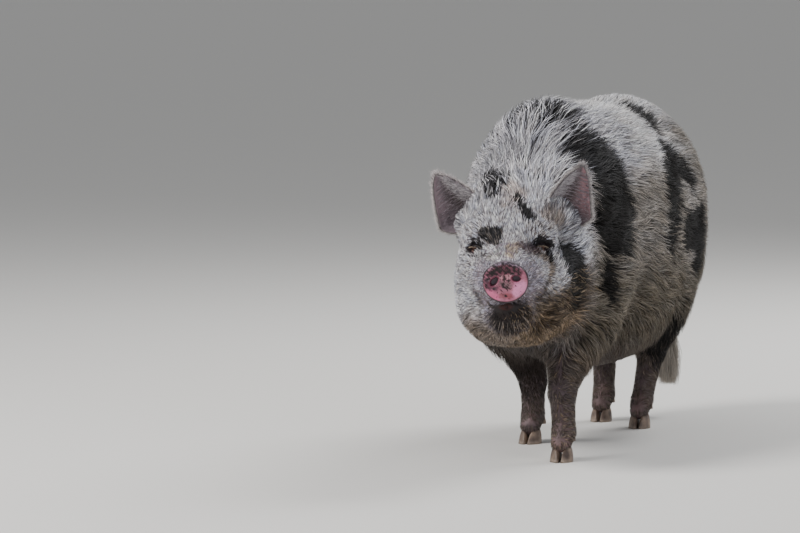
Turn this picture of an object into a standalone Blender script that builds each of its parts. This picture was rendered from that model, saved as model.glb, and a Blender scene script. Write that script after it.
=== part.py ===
"""Kunekune pig standing mid stride, its head turned to its left: a life-size still model.

Metres, +Z up. The pig faces -Y and its left side is +X. The origin is on the floor, under the
middle of the whole pig. The flesh is one closed form: ball-shaped and limb-shaped masses that
run smoothly into each other. Thin cuts part it into the nodes.
"""
import math
from collections import namedtuple

import bmesh
import bpy
import numpy as np
from mathutils import Euler, Matrix, Vector

# Driving dimensions of the body. The masses below are placed in a working frame whose X runs
# through the middle of the chest and whose Y is zero half way between the fore and hind feet.
GAP = 0.0003
CORE_SHARE = 0.45
LOCK_SEED = 7
ORIGIN_SHIFT = Vector((0.0, 0.1213, 0.0))

# Where the head is carried: the middle of the snout's flat disc, and how far it turns.
SNOUT_AT = Vector((0.073, -0.700, 0.367))
HEAD_YAW = 15.5
HEAD_ROLL = -1.1

# The snout's flat disc: its half width and height, and its middle and the left nostril's above
# the head frame's origin.
DISC_RADII = (0.0432, 0.0385)
DISC_RISE = 0.0002
NOSTRIL_AT = (0.0195, 0.0040)

# The middle of the left eyeball in head coordinates, its radius and the opening of its lids.
EYE_AT = (0.0556, 0.1180, 0.0530)
EYE_RADIUS = 0.0120
LID_OPENING = (0.0105, 0.0046)

# The ears in head coordinates, mirrored for the right one: where each is rooted, and how far it
# leans forwards, leans outwards and turns its hollow outwards. The left ear is turned more.
EAR_LENGTH = 0.1145
EAR_WIDTH = 0.0570
EARS = {
    1: ((0.094, 0.231, 0.095), (4, 20, 25)),
    -1: ((0.0785, 0.231, 0.0927), (4, 32, 2)),
}

# Where each foot stands, by the middle of its pair of claws.
FEET = {
    "fore_left": (0.085, -0.400),
    "fore_right": (-0.066, -0.135),
    "hind_left": (0.062, 0.190),
    "hind_right": (-0.050, 0.285),
}

Mass = namedtuple("Mass", "name frame shape points sizes blend")


def ball(name, centre, radii, blend=0.05, frame="body", turn=(0, 0, 0)):
    """An ellipsoid mass; turn is its rotation about X, Y and Z in degrees."""
    return Mass(name, frame, "ball", (centre, turn), radii, blend)


def pair(name, centre, radii, blend=0.05, frame="body", turn=(0, 0, 0)):
    """A left ball and its mirror image on the right."""
    x, y, z = centre
    tx, ty, tz = turn
    return [
        ball(name + "_left", (x, y, z), radii, blend, frame, (tx, ty, tz)),
        ball(name + "_right", (-x, y, z), radii, blend, frame, (tx, -ty, -tz)),
    ]


def limb(name, start, end, r_start, r_end, blend=0.03, frame="body"):
    """A round tapering mass from start to end."""
    return Mass(name, frame, "limb", (start, end), (r_start, r_end), blend)


def ear_root(side):
    """The fleshy base that an ear grows from."""
    x, y, z = EARS[side][0]
    start, end = (side * 0.045, y + 0.004, 0.072), (side * (x - 0.004), y + 0.004, z - 0.002)
    return limb("ear_root", start, end, 0.036, 0.026, 0.03, "head")


def foreleg(side, foot):
    """Upper arm, forearm, cannon and pastern of a foreleg, down to its foot."""
    x, y = foot
    out = math.copysign(1.0, x)
    elbow = (out * 0.080, -0.235 + 0.25 * (y + 0.26), 0.265)
    knee = (x * 0.88 - out * 0.004, y * 0.66 + elbow[1] * 0.34, 0.128)
    fetlock = (x, y + 0.012, 0.055)
    toe = (x, y - 0.006, 0.036)
    return [
        limb(side + "_upper_arm", (out * 0.078, -0.215, 0.36), elbow, 0.076, 0.056, 0.04),
        limb(side + "_forearm", elbow, knee, 0.052, 0.0245, 0.035),
        limb(side + "_cannon", knee, fetlock, 0.0240, 0.0200, 0.012),
        limb(side + "_pastern", fetlock, toe, 0.0205, 0.0190, 0.010),
    ]


def hindleg(side, foot):
    """Thigh, gaskin, cannon and pastern of a hindleg, down to its foot."""
    x, y = foot
    out = math.copysign(1.0, x)
    stifle = (out * 0.090, 0.185 + 0.3 * (y - 0.24), 0.285)
    hock = (x * 0.8 + out * 0.02, y + 0.052, 0.150)
    fetlock = (x, y + 0.014, 0.055)
    toe = (x, y - 0.006, 0.036)
    return [
        limb(side + "_thigh", (out * 0.070, 0.250, 0.36), stifle, 0.072, 0.062, 0.04),
        limb(side + "_gaskin", stifle, hock, 0.056, 0.0255, 0.04),
        limb(side + "_cannon", hock, fetlock, 0.0240, 0.0195, 0.012),
        limb(side + "_pastern", fetlock, toe, 0.0200, 0.0185, 0.010),
    ]


TRUNK = [
    ball("barrel", (0, 0.03, 0.418), (0.177, 0.345, 0.238), 0.04),
    ball("belly", (0, 0.04, 0.310), (0.150, 0.300, 0.165), 0.05),
    ball("croup", (0, 0.222, 0.463), (0.165, 0.176, 0.207), 0.04),
    *pair("ham", (0.067, 0.258, 0.368), (0.076, 0.138, 0.180), 0.04),
    ball("withers", (0, -0.215, 0.472), (0.118, 0.185, 0.196), 0.05),
    *pair("shoulder", (0.066, -0.235, 0.400), (0.078, 0.135, 0.180), 0.04),
    ball("brisket", (0, -0.300, 0.340), (0.105, 0.135, 0.130), 0.05),
    limb("neck", (0, -0.26, 0.500), (0.020, -0.440, 0.445), 0.114, 0.092, 0.05),
    ball("neck_left", (0.068, -0.430, 0.370), (0.064, 0.115, 0.105), 0.05),
    ball("neck_right", (-0.012, -0.425, 0.372), (0.062, 0.115, 0.105), 0.05),
]

HEAD = [
    limb("snout", (0, 0.026, 0.004), (0, 0.060, 0.010), 0.0355, 0.041, 0.02, "head"),
    ball("muzzle", (0, 0.088, 0.002), (0.069, 0.058, 0.046), 0.025, "head"),
    ball("chin", (0, 0.072, -0.055), (0.037, 0.056, 0.030), 0.02, "head"),
    ball("jaw", (0, 0.135, -0.065), (0.058, 0.080, 0.050), 0.04, "head"),
    ball("nose_bridge", (0, 0.112, 0.048), (0.050, 0.062, 0.040), 0.03, "head"),
    ball("skull", (0, 0.195, 0.060), (0.078, 0.100, 0.086), 0.03, "head"),
    ball("forehead", (0, 0.185, 0.102), (0.060, 0.075, 0.048), 0.04, "head"),
    *pair("orbit", (0.051, 0.140, 0.061), (0.031, 0.030, 0.033), 0.025, "head"),
    *pair("brow", (0.052, 0.140, 0.086), (0.030, 0.026, 0.018), 0.03, "head"),
    ball("poll", (0, 0.255, 0.120), (0.060, 0.075, 0.062), 0.05, "head"),
    *pair("cheek", (0.056, 0.165, 0.000), (0.044, 0.068, 0.060), 0.035, "head"),
    *pair("jowl", (0.044, 0.192, -0.049), (0.046, 0.076, 0.062), 0.04, "head"),
    ball("throat", (0, 0.215, -0.030), (0.072, 0.100, 0.086), 0.05, "head"),
    *[ear_root(side) for side in EARS],
]

LEGS = [
    *foreleg("fore_left", FEET["fore_left"]),
    *foreleg("fore_right", FEET["fore_right"]),
    *hindleg("hind_left", FEET["hind_left"]),
    *hindleg("hind_right", FEET["hind_right"]),
]

MASSES = TRUNK + HEAD + LEGS


def head_matrix():
    """Takes head coordinates (X left, Y back from the snout's disc, Z up) to the working frame."""
    turn = Euler((0, math.radians(HEAD_ROLL), math.radians(HEAD_YAW)), "XYZ").to_matrix()
    return Matrix.Translation(SNOUT_AT) @ turn.to_4x4()


def placed(frame):
    return head_matrix() if frame == "head" else Matrix.Identity(4)


def ball_distance(p, mass):
    """Nearly the distance from an ellipsoid: exact on its surface, and smooth all round."""
    centre, turn = mass.points
    place = placed(mass.frame) @ Matrix.Translation(centre)
    place = place @ Euler([math.radians(a) for a in turn]).to_matrix().to_4x4()
    inverse = np.array(place.inverted())
    q = (p @ inverse[:3, :3].T + inverse[:3, 3]) / np.array(mass.sizes)
    k0 = np.linalg.norm(q, axis=1)
    k1 = np.linalg.norm(q / np.array(mass.sizes), axis=1)
    return k0 * (k0 - 1.0) / np.maximum(k1, 1e-9)


def limb_distance(p, mass):
    """Distance from a round bar whose radius changes evenly from one end to the other."""
    matrix = placed(mass.frame)
    a, b = (np.array(matrix @ Vector(point)) for point in mass.points)
    along = b - a
    t = np.clip((p - a) @ along / (along @ along), 0.0, 1.0)
    radius = mass.sizes[0] + (mass.sizes[1] - mass.sizes[0]) * t
    return np.linalg.norm(p - a - t[:, None] * along, axis=1) - radius


def smooth_min(a, b, k):
    """The smaller of two distances, rounded where they are within k of each other."""
    h = np.maximum(k - np.abs(a - b), 0.0) / k
    return np.minimum(a, b) - h * h * k / 4.0


def flesh_distance(p):
    """Distance from the bare skin, negative inside."""
    found = np.full(len(p), 1.0)
    for mass in MASSES:
        measure = ball_distance if mass.shape == "ball" else limb_distance
        found = smooth_min(found, measure(p, mass), mass.blend)
    return found


def slope(field, p, step=0.0008):
    """Gradient of a distance field by central differences."""
    parts = []
    for axis in np.eye(3) * step:
        parts.append((field(p + axis) - field(p - axis)) / (2.0 * step))
    return np.stack(parts, axis=1)


def settle(points, faces_edges, field, rounds=6, reach=0.012):
    """Moves points onto the zero level of a field, evening them out along the surface between."""
    a, b = faces_edges
    count = np.bincount(np.r_[a, b], minlength=len(points))[:, None]
    for turn in range(rounds):
        if 0 < turn < rounds - 1:
            total = np.zeros_like(points)
            for axis in range(3):
                total[:, axis] = np.bincount(a, points[b, axis], len(points))
                total[:, axis] += np.bincount(b, points[a, axis], len(points))
            points = points * 0.4 + total / count * 0.6
        for _ in range(2):
            g = slope(field, points)
            move = field(points)[:, None] * g / np.maximum((g * g).sum(1), 0.05)[:, None]
            size = np.linalg.norm(move, axis=1)[:, None]
            points = points - move * np.minimum(1.0, reach / np.maximum(size, 1e-9))
    return points


def smooth_step(low, high, value):
    """0 below low, 1 above high and a smooth rise between."""
    t = np.clip((value - low) / (high - low), 0.0, 1.0)
    return t * t * (3.0 - 2.0 * t)


def mix(a, b, share):
    return a + (b - a) * share


def in_head(p):
    """The points in head coordinates."""
    inverse = np.array(head_matrix().inverted())
    return p @ inverse[:3, :3].T + inverse[:3, 3]


def coat_depth(p):
    """How far the tips of the coat stand off the skin, by place: deepest along the crest."""
    h = in_head(p)
    crest = smooth_step(0.52, 0.64, p[:, 2]) * smooth_step(0.10, -0.14, p[:, 1])
    trunk = 0.020 + 0.014 * crest + 0.003 * smooth_step(0.32, 0.22, p[:, 2])
    trunk = mix(0.003, trunk, smooth_step(0.13, 0.25, p[:, 2]))
    rise = smooth_step(0.09, 0.24, h[:, 1])
    face = 0.0015 + 0.0125 * rise + 0.012 * rise * smooth_step(0.10, 0.17, h[:, 2])
    face += 0.008 * smooth_step(0.04, 0.12, h[:, 1]) * smooth_step(-0.03, -0.08, h[:, 2])
    for side in (-1, 1):
        eye = np.linalg.norm(h - np.array((side * EYE_AT[0], EYE_AT[1], EYE_AT[2])), axis=1)
        face = mix(0.0010, face, smooth_step(0.014, 0.050, eye))
    near = smooth_step(0.36, 0.24, h[:, 1]) * smooth_step(-0.20, -0.15, h[:, 2])
    return mix(trunk, face, near)


def coat_distance(share):
    """The field whose zero level lies at a share of the coat's depth above the skin."""
    def field(p):
        return flesh_distance(p) - coat_depth(p) * share
    return field


def seed_mesh(masses, voxel):
    """A closed rough mesh round the masses, from spheres and tapered bars fused by a voxel grid."""
    bm = bmesh.new()
    for mass in masses:
        if mass.shape == "ball":
            centre, turn = mass.points
            place = placed(mass.frame) @ Matrix.Translation(centre)
            place = place @ Euler([math.radians(v) for v in turn]).to_matrix().to_4x4()
            place = place @ Matrix.Diagonal((*mass.sizes, 1.0))
            bmesh.ops.create_icosphere(bm, subdivisions=3, radius=1.0, matrix=place)
            continue
        start, end = (placed(mass.frame) @ Vector(point) for point in mass.points)
        for t in np.linspace(0.0, 1.0, 9):
            radius = mass.sizes[0] + (mass.sizes[1] - mass.sizes[0]) * t
            place = Matrix.Translation(start.lerp(end, t))
            bmesh.ops.create_icosphere(bm, subdivisions=2, radius=radius, matrix=place)
    mesh = bpy.data.meshes.new("seed")
    bm.to_mesh(mesh)
    bm.free()
    rough = bpy.data.objects.new("seed", mesh)
    bpy.context.scene.collection.objects.link(rough)
    fuse = rough.modifiers.new("fuse", "REMESH")
    fuse.mode = "VOXEL"
    fuse.voxel_size = voxel
    graph = bpy.context.evaluated_depsgraph_get()
    fused = bpy.data.meshes.new_from_object(rough.evaluated_get(graph))
    bpy.data.objects.remove(rough)
    return fused


def flesh_mesh(name, masses, voxel, field):
    """The masses' smooth common surface as a mesh, to about a voxel's detail."""
    mesh = seed_mesh(masses, voxel)
    mesh.name = name
    points = np.empty(len(mesh.vertices) * 3)
    mesh.vertices.foreach_get("co", points)
    edges = np.empty(len(mesh.edges) * 2, np.int64)
    mesh.edges.foreach_get("vertices", edges)
    ends = edges.reshape(-1, 2).T
    points = settle(points.reshape(-1, 3), ends, field)
    mesh.vertices.foreach_set("co", points.ravel())
    mesh.update()
    return mesh


def lie(p, normal):
    """Which way the hair lies, along the skin: away from the snout, then back and down."""
    h = in_head(p)
    near = smooth_step(0.34, 0.22, h[:, 1]) * smooth_step(-0.22, -0.14, h[:, 2])
    away = p - np.array(head_matrix() @ Vector((0, -0.03, -0.01)))
    away /= np.linalg.norm(away, axis=1)[:, None]
    back = np.zeros_like(p)
    back[:, 1] = 1.0
    back[:, 0] = 0.12 * np.sign(p[:, 0]) * smooth_step(0.0, 0.06, np.abs(p[:, 0]))
    back[:, 2] = -0.30 - 2.2 * smooth_step(0.26, 0.42, p[:, 1])
    back[:, 2] -= 1.6 * smooth_step(0.30, 0.20, p[:, 2]) * smooth_step(0.6, -0.2, normal[:, 2])
    back[:, 2] += 0.35 * smooth_step(0.50, 0.62, p[:, 2]) * smooth_step(0.0, -0.2, p[:, 1])
    way = mix(back, away * 1.3, near[:, None])
    way = way - normal * (way * normal).sum(1)[:, None]
    return way / np.maximum(np.linalg.norm(way, axis=1), 1e-6)[:, None]


def on_level(points, share, rounds=3):
    """The nearest points at a share of the coat's depth, and the normals there."""
    field = coat_distance(share)
    for _ in range(rounds):
        g = slope(field, points)
        points = points - field(points)[:, None] * g / np.maximum((g * g).sum(1), 0.05)[:, None]
    g = slope(field, points)
    return points, g / np.linalg.norm(g, axis=1)[:, None]


def seam_room(p):
    """Signed distances behind the head's cut and behind the neck's cut."""
    found = []
    for place, (point, tilt) in ((head_matrix(), HEAD_CUT), (Matrix.Identity(4), NECK_CUT)):
        frame = place @ Matrix.Translation(point) @ Matrix.Rotation(math.radians(tilt), 4, "X")
        inverse = np.array(frame.inverted())
        found.append(p @ inverse[1, :3] + inverse[1, 3])
    return found


def near_leg(p, margin):
    """Whether points lie in the space of a lower leg, or within a margin of it."""
    found = np.zeros(len(p), bool)
    for side, foot in FEET.items():
        top, middle, half = LEG_CELLS[side]
        t = np.clip((p[:, 2] + 0.02) / (top + 0.02), 0.0, 1.0)
        x = mix(foot[0], middle[0], t)
        y = mix(foot[1], middle[1], t)
        inside = np.abs(p[:, 0] - x) < mix(0.060, half[0], t) + margin
        inside &= np.abs(p[:, 1] - y) < mix(0.075, half[1], t) + margin
        found |= inside & (p[:, 2] < top + margin)
    return found


def near_feature(p, wide=1.0):
    """Whether points are at an ear, an eye, the mouth, the snout or the tail."""
    h = in_head(p)
    found = h[:, 1] < 0.085
    for side in (-1, 1):
        eye = h - np.array((side * EYE_AT[0], EYE_AT[1], EYE_AT[2]))
        found |= np.linalg.norm(eye, axis=1) < 0.030 * wide
        low, high = (ear_matrix(side) @ Vector((0, -0.004, z)) for z in (-0.010, EAR_LENGTH))
        along = np.array(high - low)
        t = np.clip((p - np.array(low)) @ along / (along @ along), 0.0, 1.0)
        off = np.linalg.norm(p - np.array(low) - t[:, None] * along, axis=1)
        found |= off < 0.063 * wide * (1 - 0.22 * t)
    found |= (np.abs(h[:, 2] + 0.034) < 0.016 * wide) & (h[:, 1] < 0.13)
    tail_x = np.abs(p[:, 0] - 0.02)
    found |= (tail_x < 0.040 * wide) & (p[:, 1] > 0.34) & (p[:, 2] < 0.54)
    return found


def allowed(node, p, margin):
    """Whether points belong to a node, clear of its cuts and of the pieces that stand on it."""
    behind_head, behind_neck = seam_room(p)
    if node == "head":
        inside = behind_head < -margin
    elif node == "neck":
        inside = (behind_head > margin) & (behind_neck < -margin)
    else:
        inside = (behind_neck > margin) & (behind_head > margin) & ~near_leg(p, margin)
    return inside & ~near_feature(p)


def lock_roots(node, points, spacing):
    """Roots spread evenly over a node, no two closer than the spacing at their place."""
    rng = np.random.default_rng(LOCK_SEED)
    points = points[allowed(node, points, 0.010)]
    points = points[rng.permutation(len(points))]
    gap = spacing * (0.55 + 0.45 * smooth_step(0.006, 0.020, coat_depth(points)))
    kept = []
    for i, point in enumerate(points):
        if not kept or np.linalg.norm(points[kept] - point, axis=1).min() > gap[i]:
            kept.append(i)
    return points[kept]


def lock_paths(node, roots):
    """Each lock's four path points and their normals, as long as its place leaves room for."""
    rng = np.random.default_rng(LOCK_SEED + 1)
    roots, normals = on_level(roots, CORE_SHARE - 0.10)
    depth = coat_depth(roots)
    length = (0.046 + 3.1 * depth) * rng.uniform(0.85, 1.15, len(roots))
    sway = rng.uniform(-0.28, 0.28, len(roots))
    best = np.full((len(roots), 4, 3), np.nan)
    faces = np.zeros((len(roots), 4, 3))
    for scale in (0.32, 0.45, 0.6, 0.8, 1.0):
        points, normal = roots, normals
        path, turned = [points], [normal]
        for k, share in ((1, CORE_SHARE + 0.22), (2, 0.86), (3, 1.0)):
            way = lie(points, normal)
            way = way + np.cross(normal, way) * (sway * (k - 1))[:, None]
            points = points + way * (length * scale / 3)[:, None]
            points, normal = on_level(points, share)
            path.append(points)
            turned.append(normal)
        path = np.stack(path, 1)
        fits = np.ones(len(roots), bool)
        for k in range(4):
            fits &= allowed(node, path[:, k], 0.005 + 0.008 * (k in (1, 2)))
        best[fits] = path[fits]
        faces[fits] = np.stack(turned, 1)[fits]
    found = ~np.isnan(best[:, 0, 0])
    return best[found], faces[found], depth[found]


def lock(name, path, normals, depth):
    """One flat tapered lock: a low ridge along its back, wide at its root, ending in a point."""
    rings = []
    long = sum(np.linalg.norm(path[k + 1] - path[k]) for k in range(3))
    half = 0.20 * long + 0.32 * depth
    for k, (wide, high, low) in enumerate(((0.72, 0.24, 0.30), (1.0, 0.30, 0.14),
                                           (0.66, 0.20, 0.10))):
        ahead = path[k + 1] - path[max(k - 1, 0)]
        aside = np.cross(ahead, normals[k])
        aside /= np.linalg.norm(aside)
        foot = path[k] - normals[k] * depth * low
        rings.append([foot + aside * half * wide, path[k] + normals[k] * depth * high,
                      foot - aside * half * wide])
    points = [point for ring in rings for point in ring] + [path[3]]
    faces = [(0, 1, 2), (6, 7, 9), (7, 8, 9), (8, 6, 9)]
    for k in (0, 3):
        for i in range(3):
            j = (i + 1) % 3
            faces.append((k + i, k + j, k + 3 + j, k + 3 + i))
    made = from_points(name, points, faces)
    step = made.modifiers.new("flat", "TRIANGULATE")
    step.quad_method = "BEAUTY"
    bake(made)
    return made


def spread(obj, step):
    """Points evenly over a mesh, about one to each square of this side."""
    rng = np.random.default_rng(LOCK_SEED + 2)
    obj.data.calc_loop_triangles()
    points = np.array([vertex.co for vertex in obj.data.vertices])
    corners = points[np.array([t.vertices for t in obj.data.loop_triangles])]
    sides = np.cross(corners[:, 1] - corners[:, 0], corners[:, 2] - corners[:, 0])
    area = np.linalg.norm(sides, axis=1) / 2
    pick = rng.choice(len(area), int(area.sum() / step ** 2), p=area / area.sum())
    a, b = rng.uniform(size=(2, len(pick)))
    over = a + b > 1
    a[over], b[over] = 1 - a[over], 1 - b[over]
    chosen = corners[pick]
    return (chosen[:, 0] + (chosen[:, 1] - chosen[:, 0]) * a[:, None]
            + (chosen[:, 2] - chosen[:, 0]) * b[:, None])


def pinched(obj, reach=(1e-7, 1e-6, 5e-6)):
    """Middles of the edges that are not shared by two faces once points this close are one."""
    points = np.empty(len(obj.data.vertices) * 3)
    obj.data.vertices.foreach_get("co", points)
    points = points.reshape(-1, 3)
    obj.data.calc_loop_triangles()
    faces = np.empty(len(obj.data.loop_triangles) * 3, np.int32)
    obj.data.loop_triangles.foreach_get("vertices", faces)
    found = []
    for within, shift in ((within, shift) for within in reach for shift in (0.0, 0.5)):
        grid = np.floor(points / within + shift).astype(np.int64)
        _, first, index = np.unique(grid, axis=0, return_index=True, return_inverse=True)
        f = index.reshape(-1)[faces.reshape(-1, 3)]
        f = f[(f[:, 0] != f[:, 1]) & (f[:, 1] != f[:, 2]) & (f[:, 0] != f[:, 2])]
        ends = np.sort(np.concatenate([f[:, [0, 1]], f[:, [1, 2]], f[:, [2, 0]]]), axis=1)
        edges, count = np.unique(ends, axis=0, return_counts=True)
        found.append(points[first][edges[count != 2]].mean(1))
    return np.concatenate(found)


def add_locks(obj, spacing):
    """Joins a node's locks of coat to it, leaving out any that would only graze another."""
    roots = lock_roots(obj.name, spread(obj, 0.004), spacing)
    paths, normals, depth = lock_paths(obj.name, roots)
    bare = obj.data.copy()
    for _ in range(12):
        obj.data = bare.copy()
        join(obj, [lock("lock", *each) for each in zip(paths, normals, depth)], "MANIFOLD")
        places = pinched(obj)
        if not len(places):
            break
        middles = (paths[:, :3] + paths[:, 1:]) / 2
        away = np.linalg.norm(middles[None] - places[:, None, None], axis=3).min(2)
        kept = np.setdiff1d(np.arange(len(paths)), away.argmin(1))
        paths, normals, depth = paths[kept], normals[kept], depth[kept]


def new_object(name, mesh):
    found = bpy.data.objects.new(name, mesh)
    bpy.context.scene.collection.objects.link(found)
    return found


def from_points(name, points, faces):
    """A closed mesh object whose faces are turned outwards."""
    bm = bmesh.new()
    made = [bm.verts.new(point) for point in points]
    for face in faces:
        bm.faces.new([made[i] for i in face])
    bmesh.ops.recalc_face_normals(bm, faces=bm.faces)
    if bm.calc_volume(signed=True) < 0:
        bmesh.ops.reverse_faces(bm, faces=bm.faces)
    mesh = bpy.data.meshes.new(name)
    bm.to_mesh(mesh)
    bm.free()
    return new_object(name, mesh)


def loft(name, rings):
    """A closed body through rings of equally many points, with fans over its two ends."""
    count = len(rings[0])
    points = [Vector(point) for ring in rings for point in ring]
    faces = []
    for k in range(len(rings) - 1):
        for i in range(count):
            j = (i + 1) % count
            here = k * count
            faces.append((here + i, here + j, here + count + j, here + count + i))
    for here in (0, (len(rings) - 1) * count):
        points.append(sum(points[here:here + count], Vector()) / count)
        top = len(points) - 1
        for i in range(count):
            faces.append((here + i, here + (i + 1) % count, top))
    return from_points(name, points, faces)


def ellipsoid(name, place, radii, detail=3):
    bm = bmesh.new()
    shape = place @ Matrix.Diagonal((*radii, 1.0))
    bmesh.ops.create_icosphere(bm, subdivisions=detail, radius=1.0, matrix=shape)
    mesh = bpy.data.meshes.new(name)
    bm.to_mesh(mesh)
    bm.free()
    return new_object(name, mesh)


def cell(name, low, high, place=None):
    """A box between two corners, in the frame of a matrix."""
    points = [(x, y, z) for x in (low[0], high[0]) for y in (low[1], high[1])
              for z in (low[2], high[2])]
    faces = [(0, 1, 3, 2), (4, 6, 7, 5), (0, 4, 5, 1), (2, 3, 7, 6), (0, 2, 6, 4), (1, 5, 7, 3)]
    place = place or Matrix.Identity(4)
    return from_points(name, [place @ Vector(point) for point in points], faces)


def grown(tool, by):
    """A copy of a closed mesh with every point moved out along its normal."""
    mesh = tool.data.copy()
    normals = [vertex.normal.copy() for vertex in tool.data.vertices]
    for vertex, normal in zip(mesh.vertices, normals):
        vertex.co += normal * by
    return new_object(tool.name + "_grown", mesh)


def bake(obj):
    """Applies the object's modifiers."""
    graph = bpy.context.evaluated_depsgraph_get()
    mesh = bpy.data.meshes.new_from_object(obj.evaluated_get(graph))
    mesh.name = obj.name
    obj.modifiers.clear()
    obj.data = mesh


def cut(obj, tools, operation="DIFFERENCE", solver="EXACT", keep=()):
    """Takes the tools from a body, or keeps what they share, and removes the tools."""
    for tool in tools:
        step = obj.modifiers.new("cut", "BOOLEAN")
        step.operation = operation
        step.solver = solver
        step.object = tool
    bake(obj)
    for tool in tools:
        if tool not in keep:
            bpy.data.objects.remove(tool)


def join(obj, pieces, solver="EXACT"):
    """One union of a body with all of its pieces, which are removed after it."""
    group = bpy.data.collections.new("pieces")
    for piece in pieces:
        group.objects.link(piece)
    step = obj.modifiers.new("join", "BOOLEAN")
    step.operation = "UNION"
    step.solver = solver
    step.operand_type = "COLLECTION"
    step.collection = group
    bake(obj)
    for piece in pieces:
        bpy.data.objects.remove(piece)
    bpy.data.collections.remove(group)


def keep_largest(obj):
    """Keeps the largest closed surface of a mesh; returns how many others it had."""
    bm = bmesh.new()
    bm.from_mesh(obj.data)
    bmesh.ops.triangulate(bm, faces=bm.faces)
    shells = []
    left = set(bm.faces)
    while left:
        shell = set()
        edge = [left.pop()]
        while edge:
            face = edge.pop()
            shell.add(face)
            for side in face.edges:
                if len(side.link_faces) != 2:
                    continue
                for other in side.link_faces:
                    if other in left:
                        left.discard(other)
                        edge.append(other)
        points = [vertex.co for face in shell for vertex in face.verts]
        spans = [max(p[k] for p in points) - min(p[k] for p in points) for k in range(3)]
        shells.append((sum(span ** 2 for span in spans), len(shells), shell))
    shells.sort(reverse=True)
    for _, _, shell in shells[1:]:
        bmesh.ops.delete(bm, geom=list(shell), context="FACES")
    loose = [vertex for vertex in bm.verts if not vertex.link_faces]
    bmesh.ops.delete(bm, geom=loose, context="VERTS")
    bm.to_mesh(obj.data)
    bm.free()
    return len(shells) - 1


def thin_out(obj, triangles):
    """Reduces a mesh to about this many triangles."""
    obj.data.calc_loop_triangles()
    step = obj.modifiers.new("fewer", "DECIMATE")
    step.ratio = min(1.0, triangles / len(obj.data.loop_triangles))
    bake(obj)


def flesh(name, voxel, triangles, share):
    """The body's form with a share of its coat, in a chosen fineness."""
    mesh = flesh_mesh(name, MASSES, voxel, coat_distance(share))
    obj = new_object(name, mesh)
    thin_out(obj, triangles)
    return obj


def leg_cell(name, foot, top, middle, half, by=0.0):
    """The space of a lower leg: a slanting box from below its foot up to its cut."""
    x, y = foot
    points = []
    for z, cx, cy, hx, hy in ((-0.02, x, y, 0.060, 0.075), (top, *middle, *half)):
        for sx in (-1, 1):
            for sy in (-1, 1):
                points.append((cx + sx * (hx + by), cy + sy * (hy + by), z + (by if z > 0 else 0)))
    faces = [(0, 1, 3, 2), (4, 6, 7, 5), (0, 4, 5, 1), (2, 3, 7, 6), (0, 2, 6, 4), (1, 5, 7, 3)]
    return from_points(name, points, faces)


LEG_CELLS = {
    "fore_left": (0.190, (0.084, -0.320), (0.066, 0.085)),
    "fore_right": (0.160, (-0.070, -0.172), (0.052, 0.055)),
    "hind_left": (0.160, (0.072, 0.235), (0.052, 0.058)),
    "hind_right": (0.185, (-0.074, 0.290), (0.064, 0.080)),
}
HEAD_CUT = (Vector((0, 0.285, 0.050)), -14.0)
NECK_CUT = (Vector((0, -0.295, 0.450)), -33.0)


def head_cell(by=0.0):
    """The half space in front of the cut behind the ears and the jowls."""
    point, tilt = HEAD_CUT
    place = head_matrix() @ Matrix.Translation(point) @ Matrix.Rotation(math.radians(tilt), 4, "X")
    return cell("head_cell", (-0.40, -0.60, -0.22), (0.40, by, 0.50), place)


def front_cell(by=0.0):
    """The half space in front of the cut between the neck and the shoulders."""
    point, tilt = NECK_CUT
    place = Matrix.Translation(point) @ Matrix.Rotation(math.radians(tilt), 4, "X")
    return cell("front_cell", (-0.40, -0.60, -0.28), (0.40, by, 0.50), place)


def ear_point(u, v, thick):
    """A point of the left ear: u runs from its root to its tip, v across its cup, -1 to 1."""
    half = EAR_WIDTH * max(1e-5, 1 - u) ** 0.62 * math.sqrt(min(1.0, (u + 0.05) / 0.27))
    spread = math.radians(mix(80, 32, min(1.0, u * 1.3)))
    radius = half / math.sin(spread)
    out = Vector((math.sin(spread * v), math.cos(spread * v), 0))
    hollow = Vector((0, radius * (0.35 * (1 - u) - 1) - 0.012 * u * u, EAR_LENGTH * u))
    edge = thick * (1 - 0.55 * abs(v) ** 3) * (1 - 0.4 * u)
    return hollow + out * (radius + edge)


def ear_matrix(side):
    """Places the left ear's own frame on the head; the right one is its mirror image."""
    place, (ahead, outward, open_out) = EARS[side]
    turn = Euler((math.radians(ahead), math.radians(outward), 0)).to_matrix().to_4x4()
    turn = turn @ Matrix.Rotation(math.radians(open_out), 4, "Z")
    return head_matrix() @ Matrix.Diagonal((side, 1, 1, 1)) @ Matrix.Translation(place) @ turn


def ear(name, side, along=10, across=8):
    """A cupped ear: its hairy back and its hollow front, closed round the rim."""
    rings = []
    for k in range(along + 1):
        u = -0.15 + 1.146 * k / along
        vs = [-1 + 2 * i / across for i in range(across + 1)]
        width = max(0.0, u)
        back = [ear_point(width, v, 0.0030) for v in vs]
        front = [ear_point(width, v, -0.0030) for v in reversed(vs)]
        drop = Vector((0, 0, min(0.0, u) * EAR_LENGTH))
        rings.append([ear_matrix(side) @ (point + drop) for point in back + front])
    return loft(name, rings)


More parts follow.
